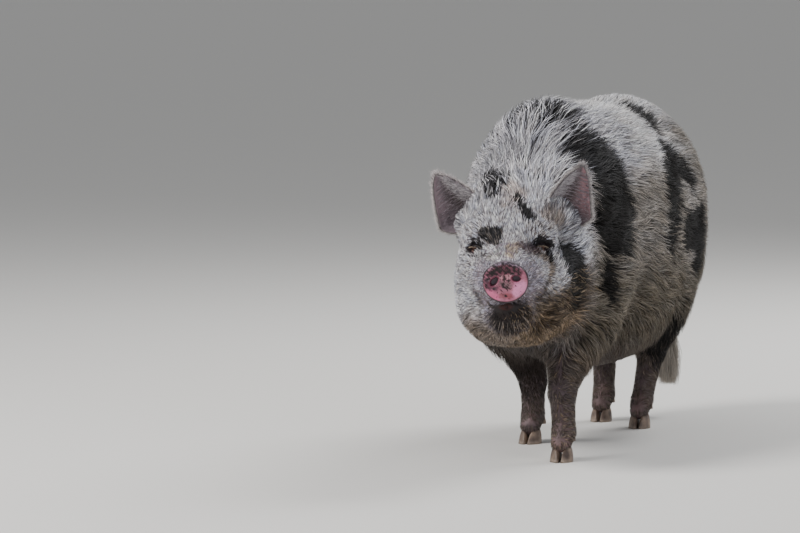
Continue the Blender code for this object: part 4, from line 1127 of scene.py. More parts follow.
# Rings of the eye from the pupil to the white: share of half a turn from its axis, and colour.
EYE_RINGS = [(0.0, "#060404"), (0.27, "#080505"), (0.31, "#2a150c"), (0.45, "#542a14"),
             (0.58, "#331a0e"), (0.64, "#120a08"), (0.72, "#8a6f62"), (0.95, "#b09a8c")]
EYE_STEPS = 64
LID_STEPS = 96


def eye_glass():
    """A wet eyeball: brown iris with fine rays, round pupil, dark rim, bloodshot off-white."""
    made, tree, shader = material("wet_eye", Roughness=0.06, IOR=1.38, Specular_IOR_Level=0.5,
                                  Coat_Weight=1.0, Coat_Roughness=0.02)
    turn = add(tree, "ShaderNodeAttribute", attribute_name="turn")
    place = add(tree, "ShaderNodeTexCoord").outputs["Object"]
    rays = add(tree, "ShaderNodeTexNoise", {"Vector": place}, Scale=cells(1.1111), Detail=3.0)
    shift = add(tree, "ShaderNodeMath", {0: rays.outputs["Fac"]}, operation="MULTIPLY")
    shift.inputs[1].default_value = 0.10
    both = add(tree, "ShaderNodeMath", {0: turn.outputs["Fac"], 1: shift.outputs[0]},
               operation="ADD")
    ramp = add(tree, "ShaderNodeValToRGB", {"Fac": both.outputs[0]})
    while len(ramp.color_ramp.elements) < len(EYE_RINGS):
        ramp.color_ramp.elements.new(0.5)
    for element, (spot, code) in zip(ramp.color_ramp.elements, EYE_RINGS):
        element.position = spot
        element.color = (*linear(code), 1)
    tree.links.new(ramp.outputs["Color"], shader.inputs["Base Color"])
    return made


def make_eye(name, side, finish):
    """A ball of rings about its line of sight, with the clear front bulging a little."""
    theta = np.linspace(0.02, math.pi - 0.02, 48)[:, None]
    phi = np.linspace(0, 2 * math.pi, EYE_STEPS, endpoint=False)[None]
    radius = EYE_RADIUS * (0.965 + 0.035 * np.exp(-(theta / 0.5) ** 4)) + 0 * phi
    rings = np.stack([radius * np.sin(theta) * np.cos(phi), -radius * np.cos(theta) + 0 * phi,
                      radius * np.sin(theta) * np.sin(phi)], -1)
    points, faces = tube(rings)
    turn = np.r_[np.repeat(theta[:, 0], EYE_STEPS), 0.0, math.pi]
    made = piece(name, times(eye_frame(side), points), faces, finish, turn=turn)
    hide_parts(name)


def make_lids(name, side, finish):
    """Both lids as one sheet round the opening: over the ball inside, under the skin outside.

    An angle runs round the lens-shaped opening, and a share s from its edge out to the skin.
    """
    a = np.linspace(0, 2 * math.pi, LID_STEPS, endpoint=False)[None]
    s = np.r_[np.linspace(0, 0.12, 5), np.linspace(0.17, 1, 20)][:, None]
    half, high = LID_OPENING
    above = np.sin(a) > 0
    lens = np.where(above, np.abs(np.sin(a)) ** 0.9, -np.abs(np.sin(a)) ** 1.3)
    high = np.where(above, high * 0.80, high)
    x = mix(half, 0.0265, s ** 0.95) * np.cos(a)
    z = mix(high, 0.0215, s ** 0.95) * mix(lens, np.sin(a), np.minimum(1.0, s * 2.2))
    z = z - 0.0016 * np.cos(a) * (1 - s)
    upper = smooth_step(-0.1, 0.5, np.sin(a))
    rho = EYE_RADIUS + np.interp(s, (0, 0.03, 0.08, 0.16, 0.30, 0.42, 0.55, 1.0),
                                 (-0.0003, 0.0008, 0.0016, 0.0020, 0.0026, 0.0014, 0.0030, 0.004))
    rho = rho + 0.0014 * upper * furrow(s - 0.20, 0.10)
    y = -np.sqrt(np.maximum(rho ** 2 - x ** 2 - z ** 2, 1e-6))
    place = eye_frame(side)
    on_ball = times(place, np.stack([x, y, z], -1).reshape(-1, 3))
    flat = np.stack([x, np.full(x.shape, -0.012), z], -1).reshape(-1, 3)
    on_skin, normals = to_level(times(place, flat), 0.0, 4)

    def spread(value):
        """A value for every point of the grid, as one row."""
        return (value + 0 * s * a).ravel()

    rise = 0.0009 * np.sin(s * 15.0) * (1 - s) - 0.0020 * smooth_step(0.86, 1.0, s)
    on_skin = on_skin + normals * spread(rise)[:, None]
    points = mix(on_ball, on_skin, spread(smooth_step(0.22, 0.78, s))[:, None])
    corner = smooth_step(0.75, 0.98, np.abs(np.cos(a))) * smooth_step(0.35, 0.05, s)
    shadow = upper * smooth_step(0.03, 0.10, s) * smooth_step(0.75, 0.45, s)
    tone = SKIN["lid_edge"]
    for shade, share in (("lid", smooth_step(0.02, 0.09, s)),
                         ("lid_upper", 0.95 * shadow),
                         ("lid_lower", 0.8 * (1 - upper) * furrow(s - 0.10, 0.05)),
                         ("eye_corner", 0.9 * corner)):
        tone = tint(tone, SKIN[shade], spread(share))
    faces = grid_faces(len(s), LID_STEPS)
    outward = points[faces[:, 0]].mean(0) - place[:3, 3]
    first = np.cross(points[faces[:, 1]] - points[faces[:, 0]],
                     points[faces[:, 2]] - points[faces[:, 0]]).mean(0)
    if first @ outward < 0:
        faces = faces[:, ::-1]
    piece(name, points, faces, finish, tone)
    return points.reshape(len(s), LID_STEPS, 3)[3]


def make_lashes(name, side, edge, rng, finish):
    """Pale lashes along the upper lid's edge, curving out and down, longest in the middle."""
    a = rng.uniform(0.06, 0.94, 150) * math.pi
    roots = edge[np.round(a / (2 * math.pi) * LID_STEPS).astype(int) % LID_STEPS]
    place = eye_frame(side)
    out = unit(roots - place[:3, 3] + rng.normal(0, 0.0012, roots.shape))
    sideways = unit(place[:3, 0])[None] * np.cos(a)[:, None]
    long = 0.0080 * np.sin(a) ** 0.5 * rng.uniform(0.6, 1.15, len(a))
    t = np.linspace(0, 1, 4)[None, :, None]
    way = unit(out + 0.7 * sideways + np.array((0, 0, 0.15)))
    path = roots[:, None] + long[:, None, None] * (way[:, None] * t
                                                   + np.array((0, 0, -0.45)) * t ** 2)
    half = np.full(len(a), 0.00026)
    tone = HAIR["lash"] * rng.uniform(0.5, 1.1, (len(a), 1))
    facing = np.repeat(out[:, None], 4, axis=1)
    uv = np.stack([np.linspace(0.1, 0.9, len(a)), np.full(len(a), 0.5 + 0.1 * side)], 1)
    coat_pieces(name, path, facing, half, half, tone, uv, finish)


# The snout's disc


# Colours of the disc; the nostrils' dark red is deepened in part as painted shade.
SNOUT = shades(
    red="#9c5a6e", pink="#b9778b", grey="#8a7f90", black="#170e11", rim="#1f171c",
    nostril_rim="#7c4254", nostril="#36131a",
)
# Patches of the disc's colour: colour, share, and a chain of points across and up with radii.
DISC_PATCHES = {
    "upper_band": ("#5a2c3a", 0.90, [
        (-0.0260, 0.0150, 0.0065), (-0.0100, 0.0220, 0.0090), (0.0100, 0.0220, 0.0090),
        (0.0260, 0.0160, 0.0065)]),
    # The lobes' bright pink is partly a painted highlight on the raised lobes, lilac on the left one.
    "lobe_left": ("#d487ad", 0.95, [(0.0275, -0.0105, 0.0115), (0.0200, -0.0200, 0.0070)]),
    "lobe_right": ("#d46c92", 0.95, [(-0.0290, -0.0215, 0.0070), (-0.0180, -0.0290, 0.0055)]),
    "lower_edge": ("#85464a", 0.75, [(-0.0080, -0.0250, 0.0040), (0.0080, -0.0265, 0.0040)]),
    "between_nostrils": ("#c08a92", 0.7, [(-0.0080, 0.0070, 0.0040), (0.0060, 0.0080, 0.0050)]),
    "middle": ("#6e575a", 0.85, [(-0.0080, -0.0030, 0.0040), (0.0050, -0.0075, 0.0060)]),
    # Painted shade round the right nostril, dark purple.
    "shade_round_right_nostril": ("#44303b", 0.88, [
        (-0.0340, 0.0040, 0.0040), (-0.0285, -0.0070, 0.0070), (-0.0190, -0.0120, 0.0034)]),
    "above_right_nostril": ("#241a1e", 1.0, [
        (-0.0335, 0.0135, 0.0012), (-0.0235, 0.0175, 0.0022), (-0.0145, 0.0232, 0.0016)]),
}
# Each nostril on the disc: its middle, the lean of its long axis, and its half sizes.
NOSTRILS = {-1: ((-0.0212, 0.0005), math.radians(48), (0.0102, 0.0060)),
            1: ((0.0200, 0.0052), math.radians(-8), (0.0086, 0.0056))}
NOSTRIL_DEPTH = 0.0160
# The rows of points over the disc's edge and down its rim.
RIM_ROWS = 8


def wet_snout():
    """Bare snout skin: moist and glinting, with pebbles and a grain, pink and black.

    The pebbles are 1.6 mm wide, a little coarser than in life so that they show, in a 4.2 mm grain.
    """
    made, tree, shader = material("snout_skin", Roughness=0.34, IOR=1.42,
                                  Specular_IOR_Level=0.4, Coat_Weight=0.15, Coat_Roughness=0.2)
    place = add(tree, "ShaderNodeTexCoord").outputs["Object"]
    pebbles = add(tree, "ShaderNodeTexVoronoi", {"Vector": place}, Scale=cells(1.6129))
    grain = add(tree, "ShaderNodeTexNoise", {"Vector": place}, Scale=cells(4.1667), Detail=4.0)
    toned(tree, shader, grain.outputs["Fac"], 0.80, 1.18)
    bumped(tree, shader, [(pebbles.outputs["Distance"], -0.8), (grain.outputs["Fac"], 0.6)],
           0.0007, 0.6)
    return made


def nostril(x, z, side):
    """Coordinates along and across a nostril's own oval, in shares of its half sizes."""
    (middle_x, middle_z), turn, (long, short) = NOSTRILS[side]
    x, z = x - middle_x, z - middle_z
    along = (x * math.cos(turn) + z * math.sin(turn)) / long
    return along, (z * math.cos(turn) - x * math.sin(turn)) / short


def disc_tone(x, z):
    """The disc's colour: pink with its patches, a grey upper edge, black mottling, dark pits; the pits
    are partly painted shade.
    """
    plane = np.stack([x, 0 * x, z], 1)
    tone = tint(SNOUT["red"], SNOUT["pink"], np.clip(0.5 + 0.5 * ripple(plane, 0.020, 21), 0, 1))
    ragged = 0.0022 * ripple(plane, 0.007, 26)
    for code, share, chain in DISC_PATCHES.values():
        away = chain_distance(plane, [(a, 0.0, b, radius) for a, b, radius in chain]) + ragged
        tone = tint(tone, linear(code), share * smooth_step(0.0045, -0.0025, away))
    across, up = x / DISC_RADII[0], z / DISC_RADII[1]
    q = np.hypot(across, up)
    band = smooth_step(0.78, 0.88, q) * smooth_step(0.2, 0.7, up - 0.35 * np.abs(across))
    tone = tint(tone, SNOUT["grey"], 0.85 * band)
    spots = (0.6 * ripple(plane, 0.0085, 22) + 0.5 * ripple(plane, 0.0046, 23)
             + 0.35 * ripple(plane, 0.0026, 24))
    top = 0.92 * smooth_step(0.004, 0.014, z) * smooth_step(0.034, 0.024, np.abs(x))
    middle = 0.75 * smooth_step(0.013, 0.005, np.abs(x)) * smooth_step(-0.030, -0.006, z)
    right = 0.70 * smooth_step(-0.012, -0.024, x) * smooth_step(-0.022, -0.004, z)
    line = 0.25 * smooth_step(0.016, 0.0, np.abs(x))
    want = np.maximum.reduce([top, middle, right, line])
    black = smooth_step(-0.05, 0.14, spots - 0.66 + 0.95 * want)
    tone = tint(tone, SNOUT["black"], 0.94 * black)
    tone = tint(tone, SNOUT["rim"], 0.94 * smooth_step(0.925, 0.965, q))
    for side in NOSTRILS:
        away = np.hypot(*nostril(x, z, side))
        tone = tint(tone, SNOUT["nostril_rim"], 0.8 * smooth_step(1.60, 1.0, away))
        # Painted shade in the nostrils' pits, over their own dark-red lining.
        tone = tint(tone, SNOUT["nostril"], 0.95 * smooth_step(1.05, 0.65, away))
    return tone


def make_snout(finish):
    """The disc in polar form: a rounded rim, two low lobes and two nostrils sunk into it."""
    a = np.linspace(0, 2 * math.pi, 200, endpoint=False)[None]
    over = np.r_[np.linspace(0.02, 0.93, 74), np.linspace(0.94, 1.0, 10)]
    out = np.r_[over, 1.0 - 0.06 * np.linspace(0, 1, RIM_ROWS) ** 2][:, None]
    back = np.r_[np.zeros(len(over)), np.linspace(0.001, 0.0115, RIM_ROWS)][:, None]
    x = DISC_RADII[0] * 0.99 * out * np.cos(a)
    z = DISC_RADII[1] * 0.99 * out * np.sin(a) * (1 - 0.05 * np.sin(a))
    z = z + 0.0025 * out * np.cos(a) ** 2 * (np.sin(a) > 0)
    edge = smooth_step(0.90, 1.0, out)
    inside = 1 - edge
    y = 0.0006 + 0.0036 * edge ** 2 + back + 0.0022 * smooth_step(0.92, 0.45, out)
    groove = smooth_step(0.004, -0.016, z) * furrow(x, 0.0035)
    y = y + 0.0016 * groove * inside
    for side in NOSTRILS:
        lobe = np.exp(-((side * x - 0.024) / 0.012) ** 2 - ((z + 0.014) / 0.013) ** 2)
        y = y - 0.0016 * lobe * inside
        away = np.hypot(*nostril(x, z, side))
        y = y + NOSTRIL_DEPTH * smooth_step(1.10, 0.45, away) * inside
        y = y - 0.0012 * furrow(away - 1.30, 0.26) * inside
        slit = np.exp(-((side * x - 0.030) / 0.005) ** 2 - ((z - 0.004) / 0.0018) ** 2)
        y = y + 0.0016 * slit * inside
    plane = np.stack([x.ravel(), 0 * x.ravel(), z.ravel()], 1)
    pebble = 0.00022 * ripple(plane, 0.0030, 27).reshape(x.shape)
    y = np.maximum(y + pebble * inside, 0.0002)
    rings = np.stack([x, y, z + DISC_RISE], -1)
    last = rings[-1:] * (0.6, 1, 0.6) + np.array((0, 0.0, 0.0016))
    points, faces = tube(np.concatenate([rings, last])[::-1])
    tone = disc_tone(points[:, 0], points[:, 2] - DISC_RISE)
    made = piece("snout", times(HEAD, points), faces, finish, tone)
    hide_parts("snout")


# Ears


EAR_ROWS = 70
EAR_COLUMNS = 49
# The ear's colours; deep is painted shade in the hollow of the cup.
EAR = shades(back="#766a6e", back_pink="#8d7173", blood="#b3868c", deep="#413836")
# The colour of each ear's cup, and how much blood shows in it; the left cup is darker than the right as
# painted shade.
CUPS = {1: ("#655a5d", 0.6), -1: ("#7d7278", 0.15)}


def ear_frame(side):
    """The left ear's own frame on the head; the right one is its mirror image."""
    place, (ahead, outward, open_out) = EARS[side]
    turn = np.array(Euler((math.radians(ahead), math.radians(outward), 0)).to_matrix().to_4x4())
    turn = turn @ about_z(math.radians(open_out))
    return HEAD @ np.diag((side, 1.0, 1.0, 1.0)) @ np.array(Matrix.Translation(place)) @ turn


def ear_map(u, v, inner):
    """Places in the ear's map: its back on one half, and its cup (inner 1) on the other."""
    return np.stack([0.25 + 0.24 * v + 0.5 * inner, 0.05 + 0.9 * u], 1) * 0.96 + 0.02


def ear_point(u, v, thick):
    """Points of the left ear: u runs from its root to its tip, v across its cup, -1 to 1."""
    half = EAR_HALF_WIDTH * np.maximum(1e-5, 1 - u) ** 0.62
    half = half * np.sqrt(np.minimum(1.0, (u + 0.05) / 0.27))
    spread = np.radians(mix(80, 32, np.minimum(1.0, u * 1.3)))
    radius = half / np.sin(spread)
    edge = radius + thick * (1 - 0.55 * np.abs(v) ** 3) * (1 - 0.4 * u)
    ahead = radius * (0.35 * (1 - u) - 1) - 0.012 * u * u + edge * np.cos(spread * v)
    return np.stack([edge * np.sin(spread * v), ahead, EAR_LENGTH * u + 0 * v], -1)


def make_ear(name, side, finish):
    """A thin cup of two faces joined round the rim, with low ridges on the inner one."""
    u = (1 - (1 - np.linspace(0, 1, EAR_ROWS)) ** 1.3)[:, None] * 1.155 - 0.16
    u = np.minimum(u, 0.9975)
    v = np.linspace(-1, 1, EAR_COLUMNS)[None]
    up = np.maximum(u, 0.0)
    drop = np.minimum(u, 0.0)[..., None] * EAR_LENGTH * np.array((0, 0, 1.0))
    ridges = 0.0007 * np.sin(v * 15 + 2.5 * u) * smooth_step(0.95, 0.6, np.abs(v))
    ridges = ridges * smooth_step(0.9, 0.4, up)
    back = ear_point(up, v, 0.0026) + drop
    front = ear_point(up, v, -0.0022 + ridges) + drop
    points, faces = tube(np.concatenate([back, front[:, ::-1]], 1))
    where_u = np.r_[np.repeat(up[:, 0], 2 * EAR_COLUMNS), 0.0, 1.0]
    where_v = np.r_[np.tile(np.r_[v[0], v[0, ::-1]], EAR_ROWS), 0.0, 0.0]
    inner = np.r_[np.tile(np.repeat((0.0, 1.0), EAR_COLUMNS), EAR_ROWS), 0.0, 0.0]
    blood = np.clip(0.5 + 0.5 * ripple(points, 0.03, 31 + side), 0, 1)
    cup, share = CUPS[side]
    pink = smooth_step(0.0, 0.6, where_v) * smooth_step(0.1, 0.5, where_u) * share
    inside = tint(linear(cup), EAR["blood"], pink)
    # Painted shade deep in the hollow of the cup.
    deep = smooth_step(0.60, 0.15, np.hypot((where_u - 0.55) / 0.9, (where_v + 0.15) / 1.3))
    inside = tint(inside, EAR["deep"], 0.85 * deep)
    tone = tint(tint(EAR["back"], EAR["back_pink"], blood), inside, inner)
    world = times(ear_frame(side), points)
    made = piece(name, world, turned_out(world, faces), finish, tone,
                 uv=ear_map(where_u, where_v, inner))
    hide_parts(name)


def on_back(rng, _side):
    """Places of 2600 hairs, anywhere on the back of the ear."""
    n = 2600
    return rng.uniform(-0.02, 0.97, n), rng.uniform(-0.99, 0.99, n)


def on_rim(rng, _side):
    """Places of 1500 hairs along both edges."""
    n = 1500
    u = rng.uniform(0.0, 0.985, n)
    return u, np.where(rng.uniform(size=n) < 0.5, -1, 1) * rng.uniform(0.93, 1.0, n)


def in_rows(rng, side):
    """Places of 1500 hairs in the cup, combed into rows across it."""
    n = 1500
    u = np.round(rng.uniform(0.02, 0.9, n) * 17) / 17 + rng.normal(0, 0.006, n)
    return np.clip(u, 0.0, 0.95), rng.uniform(-0.95, 0.85, n) * side


def on_front_edge(rng, _side):
    """Places of 1500 hairs in the cup, thickest by its front edge."""
    n = 1500
    v = -1 + 0.62 * rng.uniform(0, 1, n) ** 1.5
    return rng.uniform(-0.02, 0.86, n) * (1 - 0.35 * (v + 1)), v


# Bands of an ear's hair: the places, the wall that it stands on (above 0 on the back), its
# length at the root of the ear and how that tapers, how far it lies to the tip, across and
# outwards, its colour, the mean, spread and limits of its paleness, and its half width.
EAR_BANDS = (
    dict(places=on_back, wall=0.0026, long=(0.010, 0.019), taper=(1.0, 0.0), up=1.0,
         across=lambda v, side, rng: 0.35 * v, out=0.20, colour="#aaa3a3",
         pale=(0.95, 0.20), limits=(0.4, 1.4), half=(0.0004, 0.0007)),
    dict(places=on_rim, wall=0.0012, long=(0.006, 0.015), taper=(1.15, 0.75), up=0.55,
         across=lambda v, side, rng: np.sign(v) * 0.9, out=0.10, colour="#c4bdbb",
         pale=(1.0, 0.20), limits=(0.5, 1.4), half=(0.00030, 0.0005)),
    dict(places=in_rows, wall=-0.0022, long=(0.008, 0.015), taper=(1.0, 0.0), up=0.22,
         across=lambda v, side, rng: np.full(len(v), side), out=0.12, colour="#a3979d",
         pale=(1.0, 0.25), limits=(0.4, 1.6), half=(0.00028, 0.00042)),
    dict(places=on_front_edge, wall=-0.0020, long=(0.010, 0.021), taper=(1.0, 0.0), up=1.0,
         across=lambda v, side, rng: rng.uniform(0.0, 0.9, len(v)), out=0.16, colour="#bdb7ba",
         pale=(1.0, 0.22), limits=(0.4, 1.5), half=(0.00035, 0.0006)),
)


def ear_strands(band, side, rng):
    """One band of an ear's hair in the ear's frame: paths, facings, half widths, tones and map."""
    u, v = band["places"](rng, side)
    pale = np.clip(rng.normal(*band["pale"], len(u)), *band["limits"])[:, None]
    most, less = band["taper"]
    long = (rng.uniform(*band["long"], len(u)) * (most - less * u))[:, None, None]
    lean = band["across"](v, side, rng)[:, None]
    half = rng.uniform(*band["half"], len(u))
    wall, step = band["wall"], 1e-3
    base = ear_point(u, v, wall)
    along = unit(ear_point(np.minimum(u + step, 0.998), v, wall) - base)
    across = unit(ear_point(u, np.clip(v + step, -1, 1), wall)
                  - ear_point(u, np.clip(v - step, -1, 1), wall))
    face = unit(np.cross(across, along)) * np.sign(-wall)
    t = np.linspace(0, 1, 3)[None, :, None]
    way = along * band["up"] + across * lean
    way = unit(way + rng.normal(0, 0.16, way.shape))
    bend = rng.normal(0, 0.18, way.shape)
    path = base[:, None] + long * (
        way[:, None] * t + face[:, None] * band["out"] * t ** 1.4 + bend[:, None] * t ** 2)
    path[:, 0] -= face * 0.0006
    return (path, np.repeat(face[:, None], 3, axis=1), half, linear(band["colour"]) * pale,
            ear_map(u, v, float(wall < 0)))


def ear_hair(name, side, rng, finish):
    """Hair of an ear: a short coat on its back, a soft fringe round its rim, combed rows inside."""
    bands = [ear_strands(band, side, rng) for band in EAR_BANDS]
    path, facing, half, tone, uv = (np.concatenate(arrays) for arrays in zip(*bands))
    path = times(ear_frame(side), path.reshape(-1, 3)).reshape(-1, 3, 3)
    facing = facing @ ear_frame(side)[:3, :3].T
    coat_pieces(name, path, facing, half, half * 0.6, tone, uv, finish)


# Claws


HORN = shades(brown="#4b3d37", pale="#8d7a6b", worn="#a39384")
# The spacing of a claw's growth rings, drawn about twice as far apart as in life so that they show.
HORN_RING = 0.00604
# A claw's width and height at stations from heel to toe, in shares of the greatest.
CLAW_STATIONS = (0, 0.12, 0.40, 0.68, 0.90, 1.0)
CLAW_WIDTHS = (0.50, 0.80, 1.0, 0.92, 0.55, 0.22)
CLAW_HEIGHTS = (0.55, 0.74, 0.98, 0.96, 0.65, 0.34)
# Each kind of claw: its place outwards, back and up from the foot's middle, and its width,
# length, height and backward lean.
CLAWS = {
    "claw": ((0.0117, -0.010, 0), (0.0222, 0.050, 0.034, 0.35)),
    "dewclaw": ((0.0150, 0.0285, 0.036), (0.0125, 0.022, 0.015, 0.2)),
}


def horn():
    """Claw horn: dense keratin, worn dull, with growth rings across it and fine streaks."""
    made, tree, shader = material("claw_horn", Roughness=0.48, IOR=1.55, Specular_IOR_Level=0.4)
    place = add(tree, "ShaderNodeTexCoord").outputs["Object"]
    rings = add(tree, "ShaderNodeTexWave", {"Vector": place}, Scale=math.pi / 10 / HORN_RING,
                Distortion=3.0, Detail=3.0, bands_direction="Z")
    streaks = add(tree, "ShaderNodeTexNoise", {"Vector": place}, Scale=cells(5.5556), Detail=5.0)
    toned(tree, shader, streaks.outputs["Fac"], 0.60, 1.45)
    bumped(tree, shader, [(rings.outputs["Fac"], 0.5), (streaks.outputs["Fac"], 0.6)], 0.0007, 0.7)
    return made


def make_claw(name, place, heading, width, length, height, lean, side, finish):
    """One half of a cloven foot: rounded sections from heel to toe, flat on the floor."""
    t = np.linspace(0, 1, 34)[:, None]
    wide = np.interp(t, CLAW_STATIONS, CLAW_WIDTHS)
    high = np.interp(t, CLAW_STATIONS, CLAW_HEIGHTS)
    for size in (wide, high):
        for _ in range(4):
            size[1:-1] = (size[:-2] + size[1:-1] + size[2:]) / 3
    a = np.linspace(0, math.pi, 25)[None]
    low = np.linspace(-1, 1, 9)[1:-1][None]
    across = np.concatenate([np.cos(a) * (1 - 0.06 * np.sin(a)), low], 1)
    rise = np.concatenate([np.sin(a) ** 0.75, np.zeros_like(low)], 1)
    toe_in = -side * 0.35 * width * (1 - wide)
    x = across * width / 2 * wide * (1 - 0.10 * rise) + toe_in
    y = length * (0.5 - t) + lean * rise * high * height
    z = rise * height * high + 0 * x
    points, faces = tube(np.stack([x, y, z], -1))
    world = times(place @ about_z(heading), points)
    tone = tint(HORN["brown"], HORN["pale"], np.clip(0.45 + 0.5 * ripple(world, 0.02, 51), 0, 1))
    tone = tint(tone, HORN["worn"], 0.6 * smooth_step(0.010, 0.0, world[:, 2]))
    made = piece(name, world, turned_out(world, faces), finish, tone)
    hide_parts(name)


def make_claws(finish):
    """Two claws and two dewclaws to each foot, turned with it."""
    for foot, (x, y) in FEET.items():
        turn = math.radians(FOOT_TURN[foot])
        spin = about_z(turn)[:3, :3]
        for label, out in (("inner", -math.copysign(1, x)), ("outer", math.copysign(1, x))):
            for kind, ((outwards, back, up), sizes) in CLAWS.items():
                place = np.eye(4)
                place[:3, 3] = np.array((x, y, 0)) + spin @ np.array((out * outwards, back, up))
                make_claw(f"{kind}_{foot}_{label}", place, turn, *sizes, out, finish)


# Tail

# The tail's middle line, its radii, the height that the tassel ends at, and the counts of points
# along the line and of hairs.
TAIL_PATH = np.array(((0.004, 0.350, 0.520), (0.006, 0.405, 0.490), (0.012, 0.432, 0.420),
                      (0.022, 0.442, 0.330), (0.034, 0.440, 0.240), (0.046, 0.432, 0.160),
                      (0.052, 0.426, 0.085)))
TAIL_RADII = (0.020, 0.014, 0.008, 0.009, 0.008, 0.004)
TASSEL_END = 0.075
TAIL_STEPS = 60
TAIL_HAIRS = 5200


def smooth_path(path, count):
    """Points along a Catmull-Rom curve through a path."""
    p = np.concatenate([2 * path[:1] - path[1:2], path, 2 * path[-1:] - path[-2:-1]])
    t = np.linspace(0, len(path) - 1 - 1e-9, count)
    k, f = t.astype(int), (t % 1)[:, None]
    a, b, c, d = p[k], p[k + 1], p[k + 2], p[k + 3]
    return 0.5 * (2 * b + (c - a) * f + (2 * a - 5 * b + 4 * c - d) * f ** 2
                  + (3 * b - a - 3 * c + d) * f ** 3)


def read_along(values, k):
    """Rows of values read at places k between them."""
    return np.stack([np.interp(k, range(len(values)), column) for column in values.T], 1)


def make_tail(skin_finish, hair_finish, rng):
    """The tail's skin as a tapering tube, a short coat along it and a tassel of long hair."""
    line = smooth_path(TAIL_PATH, TAIL_STEPS)
    ahead = unit(np.gradient(line, axis=0))
    aside = np.array((1.0, 0, 0))
    up = unit(np.cross(ahead, aside))
    share = np.linspace(0, 1, TAIL_STEPS)
    thick = 0.8 * np.interp(share, (0, 0.25, 0.55, 0.75, 0.9, 1), TAIL_RADII)
    a = np.linspace(0, 2 * math.pi, 24, endpoint=False)[None, :, None]
    rings = line[:, None] + thick[:, None, None] * (aside * np.cos(a) + up[:, None] * np.sin(a))
    points, faces = tube(rings)
    made = piece("tail", points, faces, skin_finish, skin_colour(points))
    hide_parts("tail")

    n = TAIL_HAIRS
    where = rng.uniform(0, 1, n) ** 0.62
    turn = rng.uniform(0, 2 * math.pi, n)
    k = where * (TAIL_STEPS - 1)
    out = aside * np.cos(turn)[:, None] + read_along(up, k) * np.sin(turn)[:, None]
    root = read_along(line, k) + out * (np.interp(where, share, thick) * 0.9)[:, None]
    tassel = smooth_step(0.42, 0.72, where)
    long = mix(0.022, 0.070, tassel) * rng.uniform(0.6, 1.1, n)
    long = np.minimum(long, np.maximum(0.015, (root[:, 2] - TASSEL_END) * 0.95))
    t = np.linspace(0, 1, 4)[None, :, None]
    fan = (0.10 + 0.16 * tassel * rng.uniform(0.2, 1.2, n))[:, None, None]
    wave = rng.normal(0, 0.05, (n, 1, 3)) * np.sin(t * 3.0)
    path = root[:, None] + long[:, None, None] * (
        read_along(ahead, k)[:, None] * t + out[:, None] * fan * np.sin(t * 2.2) + wave
        + np.array((0, 0, -0.25)) * t ** 2)
    tone = tint(hair_colour(root), HAIR["tassel"], 0.75 * tassel)
    tone = tone * rng.uniform(0.7, 1.2, (n, 1))
    half = rng.uniform(0.00045, 0.0008, n)
    uv = np.stack([0.5 + 0.45 * np.sin(turn) * 0.98, 0.03 + 0.94 * where], 1)
    coat_pieces("tail_hair", path, np.repeat(out[:, None], 4, axis=1), half, half * 0.7, tone, uv,
                hair_finish)


# Floor, light and camera


# Each lamp: place, aim, diameter, power and tint. The key stands ahead and to the pig's right.
LAMPS = {
    "key": ((-2.6, -2.9, 4.0), (0.0, -0.1, 0.4), 2.0, 270, "#fffdfb"),
    "fill": ((3.6, -2.6, 1.8), (0.0, -0.1, 0.4), 3.0, 40, "#f4f6ff"),
    "back": ((1.2, 3.2, 3.2), (0.0, 0.1, 0.5), 2.2, 140, "#ffffff"),
}
SKY_STRENGTH = 0.45
# The view: degrees to the pig's left and above it, distance, lens and sensor in millimetres, and
# the size of the picture.
VIEW_TURN = 18.0
VIEW_RISE = 7.0
VIEW_DISTANCE = 7.7
LENS = 180.0
SENSOR = 36.0
PICTURE = (800, 533)
# Where the picture shows the sole of the left forefoot, in pixels from its upper left corner.
SOLE_PIXEL = (562, 461)


def make_floor():
    """A pale matt floor with a fine grain, so wide that its edge is out of sight."""
    bm = bmesh.new()
    bmesh.ops.create_grid(bm, x_segments=8, y_segments=8, size=160.0)
    mesh = bpy.data.meshes.new("floor")
    bm.to_mesh(mesh)
    bm.free()
    made, tree, shader = material("floor_matt", Roughness=0.9,
                                  Base_Color=(*linear("#e2e0dc"), 1))
    place = add(tree, "ShaderNodeTexCoord").outputs["Object"]
    grain = add(tree, "ShaderNodeTexNoise", {"Vector": place}, Scale=cells(11.111), Detail=4.0)
    bumped(tree, shader, [(grain.outputs["Fac"], 1.0)], 0.0004, 0.3)
    mesh.materials.append(made)
    floor = bpy.data.objects.new("floor", mesh)
    bpy.context.scene.collection.objects.link(floor)


def make_lights():
    """A large soft key, a weak fill, a back light and a pale sky."""
    for name, (place, aim, size, power, code) in LAMPS.items():
        lamp = bpy.data.lights.new(name, "AREA")
        lamp.shape = "DISK"
        lamp.size = size
        lamp.energy = power
        lamp.color = linear(code)
        obj = bpy.data.objects.new(name, lamp)
        obj.location = place
        obj.rotation_euler = (Vector(place) - Vector(aim)).to_track_quat("Z", "Y").to_euler()
        bpy.context.scene.collection.objects.link(obj)
    world = bpy.data.worlds.new("studio")
    world.use_nodes = True
    sky = world.node_tree.nodes["Background"]
    sky.inputs["Color"].default_value = (*linear("#e9ebee"), 1)
    sky.inputs["Strength"].default_value = SKY_STRENGTH
    bpy.context.scene.world = world


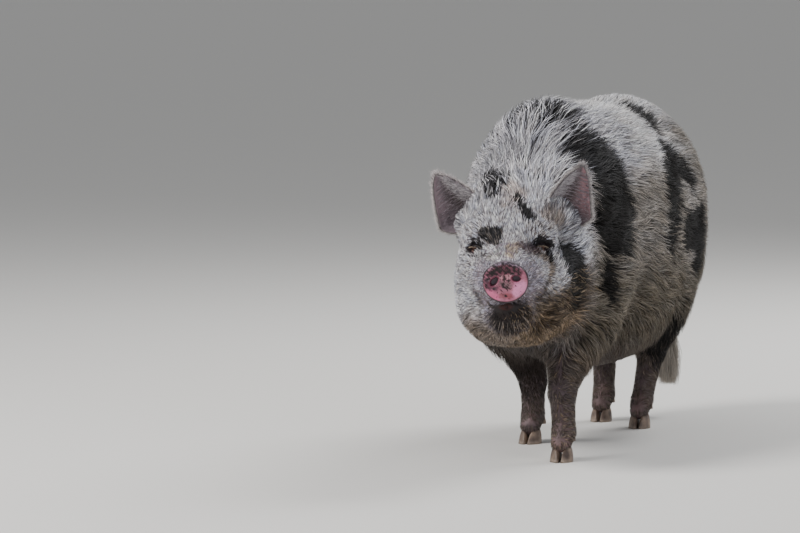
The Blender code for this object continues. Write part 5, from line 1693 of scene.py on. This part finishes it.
def make_camera():
    """A long lens, turned so that the sole of the left forefoot falls on its own pixel."""
    turn, rise = math.radians(VIEW_TURN), math.radians(VIEW_RISE)
    back = Vector((math.sin(turn) * math.cos(rise), -math.cos(turn) * math.cos(rise),
                   math.sin(rise)))
    wide, high = PICTURE
    pixels = LENS / SENSOR * wide
    camera = bpy.data.objects.new("camera", bpy.data.cameras.new("camera"))
    bpy.context.scene.collection.objects.link(camera)
    camera.data.lens = LENS
    camera.data.sensor_width = SENSOR
    camera.location = Vector((*FEET["fore_left"], 0.0)) + Vector(SHIFT) + back * VIEW_DISTANCE
    aim = (-back).to_track_quat("-Z", "Y")
    aim = aim @ Quaternion((0, 1, 0), math.atan((SOLE_PIXEL[0] - wide / 2) / pixels))
    aim = aim @ Quaternion((1, 0, 0), math.atan((SOLE_PIXEL[1] - high / 2) / pixels))
    camera.rotation_mode = "QUATERNION"
    camera.rotation_quaternion = aim
    bpy.context.scene.camera = camera


# The whole pig


def long_share(depth):
    """1 where the coat is deep enough for the long tufts, 0 where the short ones grow."""
    return smooth_step(0.0048, 0.0075, depth)


def main():
    """The stage, the skin and its coat, then the pieces of the face, the ears, feet and tail."""
    make_camera()
    make_floor()
    make_lights()
    rng = np.random.default_rng(11)
    skin_finish, hair = pig_skin(), coarse_hair()
    skin = make_skin(skin_finish)
    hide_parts("head", "neck", "torso", *("leg_" + foot for foot in FEET))
    ground = ground_of(skin)
    few = 1.0
    grow("coat", ground, rng, lambda depth: few * (0.00165 + 0.112 * depth), long_share, hair)
    grow("face_and_leg_coat", ground, rng, lambda depth: few * (0.00205 + 0.09 * depth),
         lambda depth: 1.0 - long_share(depth), hair)
    whiskers("whiskers", ground, rng, hair)
    eye_finish = eye_glass()
    lid_skin = pig_skin("lid_skin", 0.42)
    ear_leather = pig_skin("ear_leather", 0.6)
    for side, name in ((1, "left"), (-1, "right")):
        make_eye("eye_" + name, side, eye_finish)
        edge = make_lids("lids_" + name, side, lid_skin)
        make_lashes("lashes_" + name, side, edge, rng, hair)
        make_ear("ear_" + name, side, ear_leather)
        ear_hair("ear_hair_" + name, side, rng, hair)
    make_snout(wet_snout())
    make_claws(horn())
    make_tail(skin_finish, hair, rng)


main()
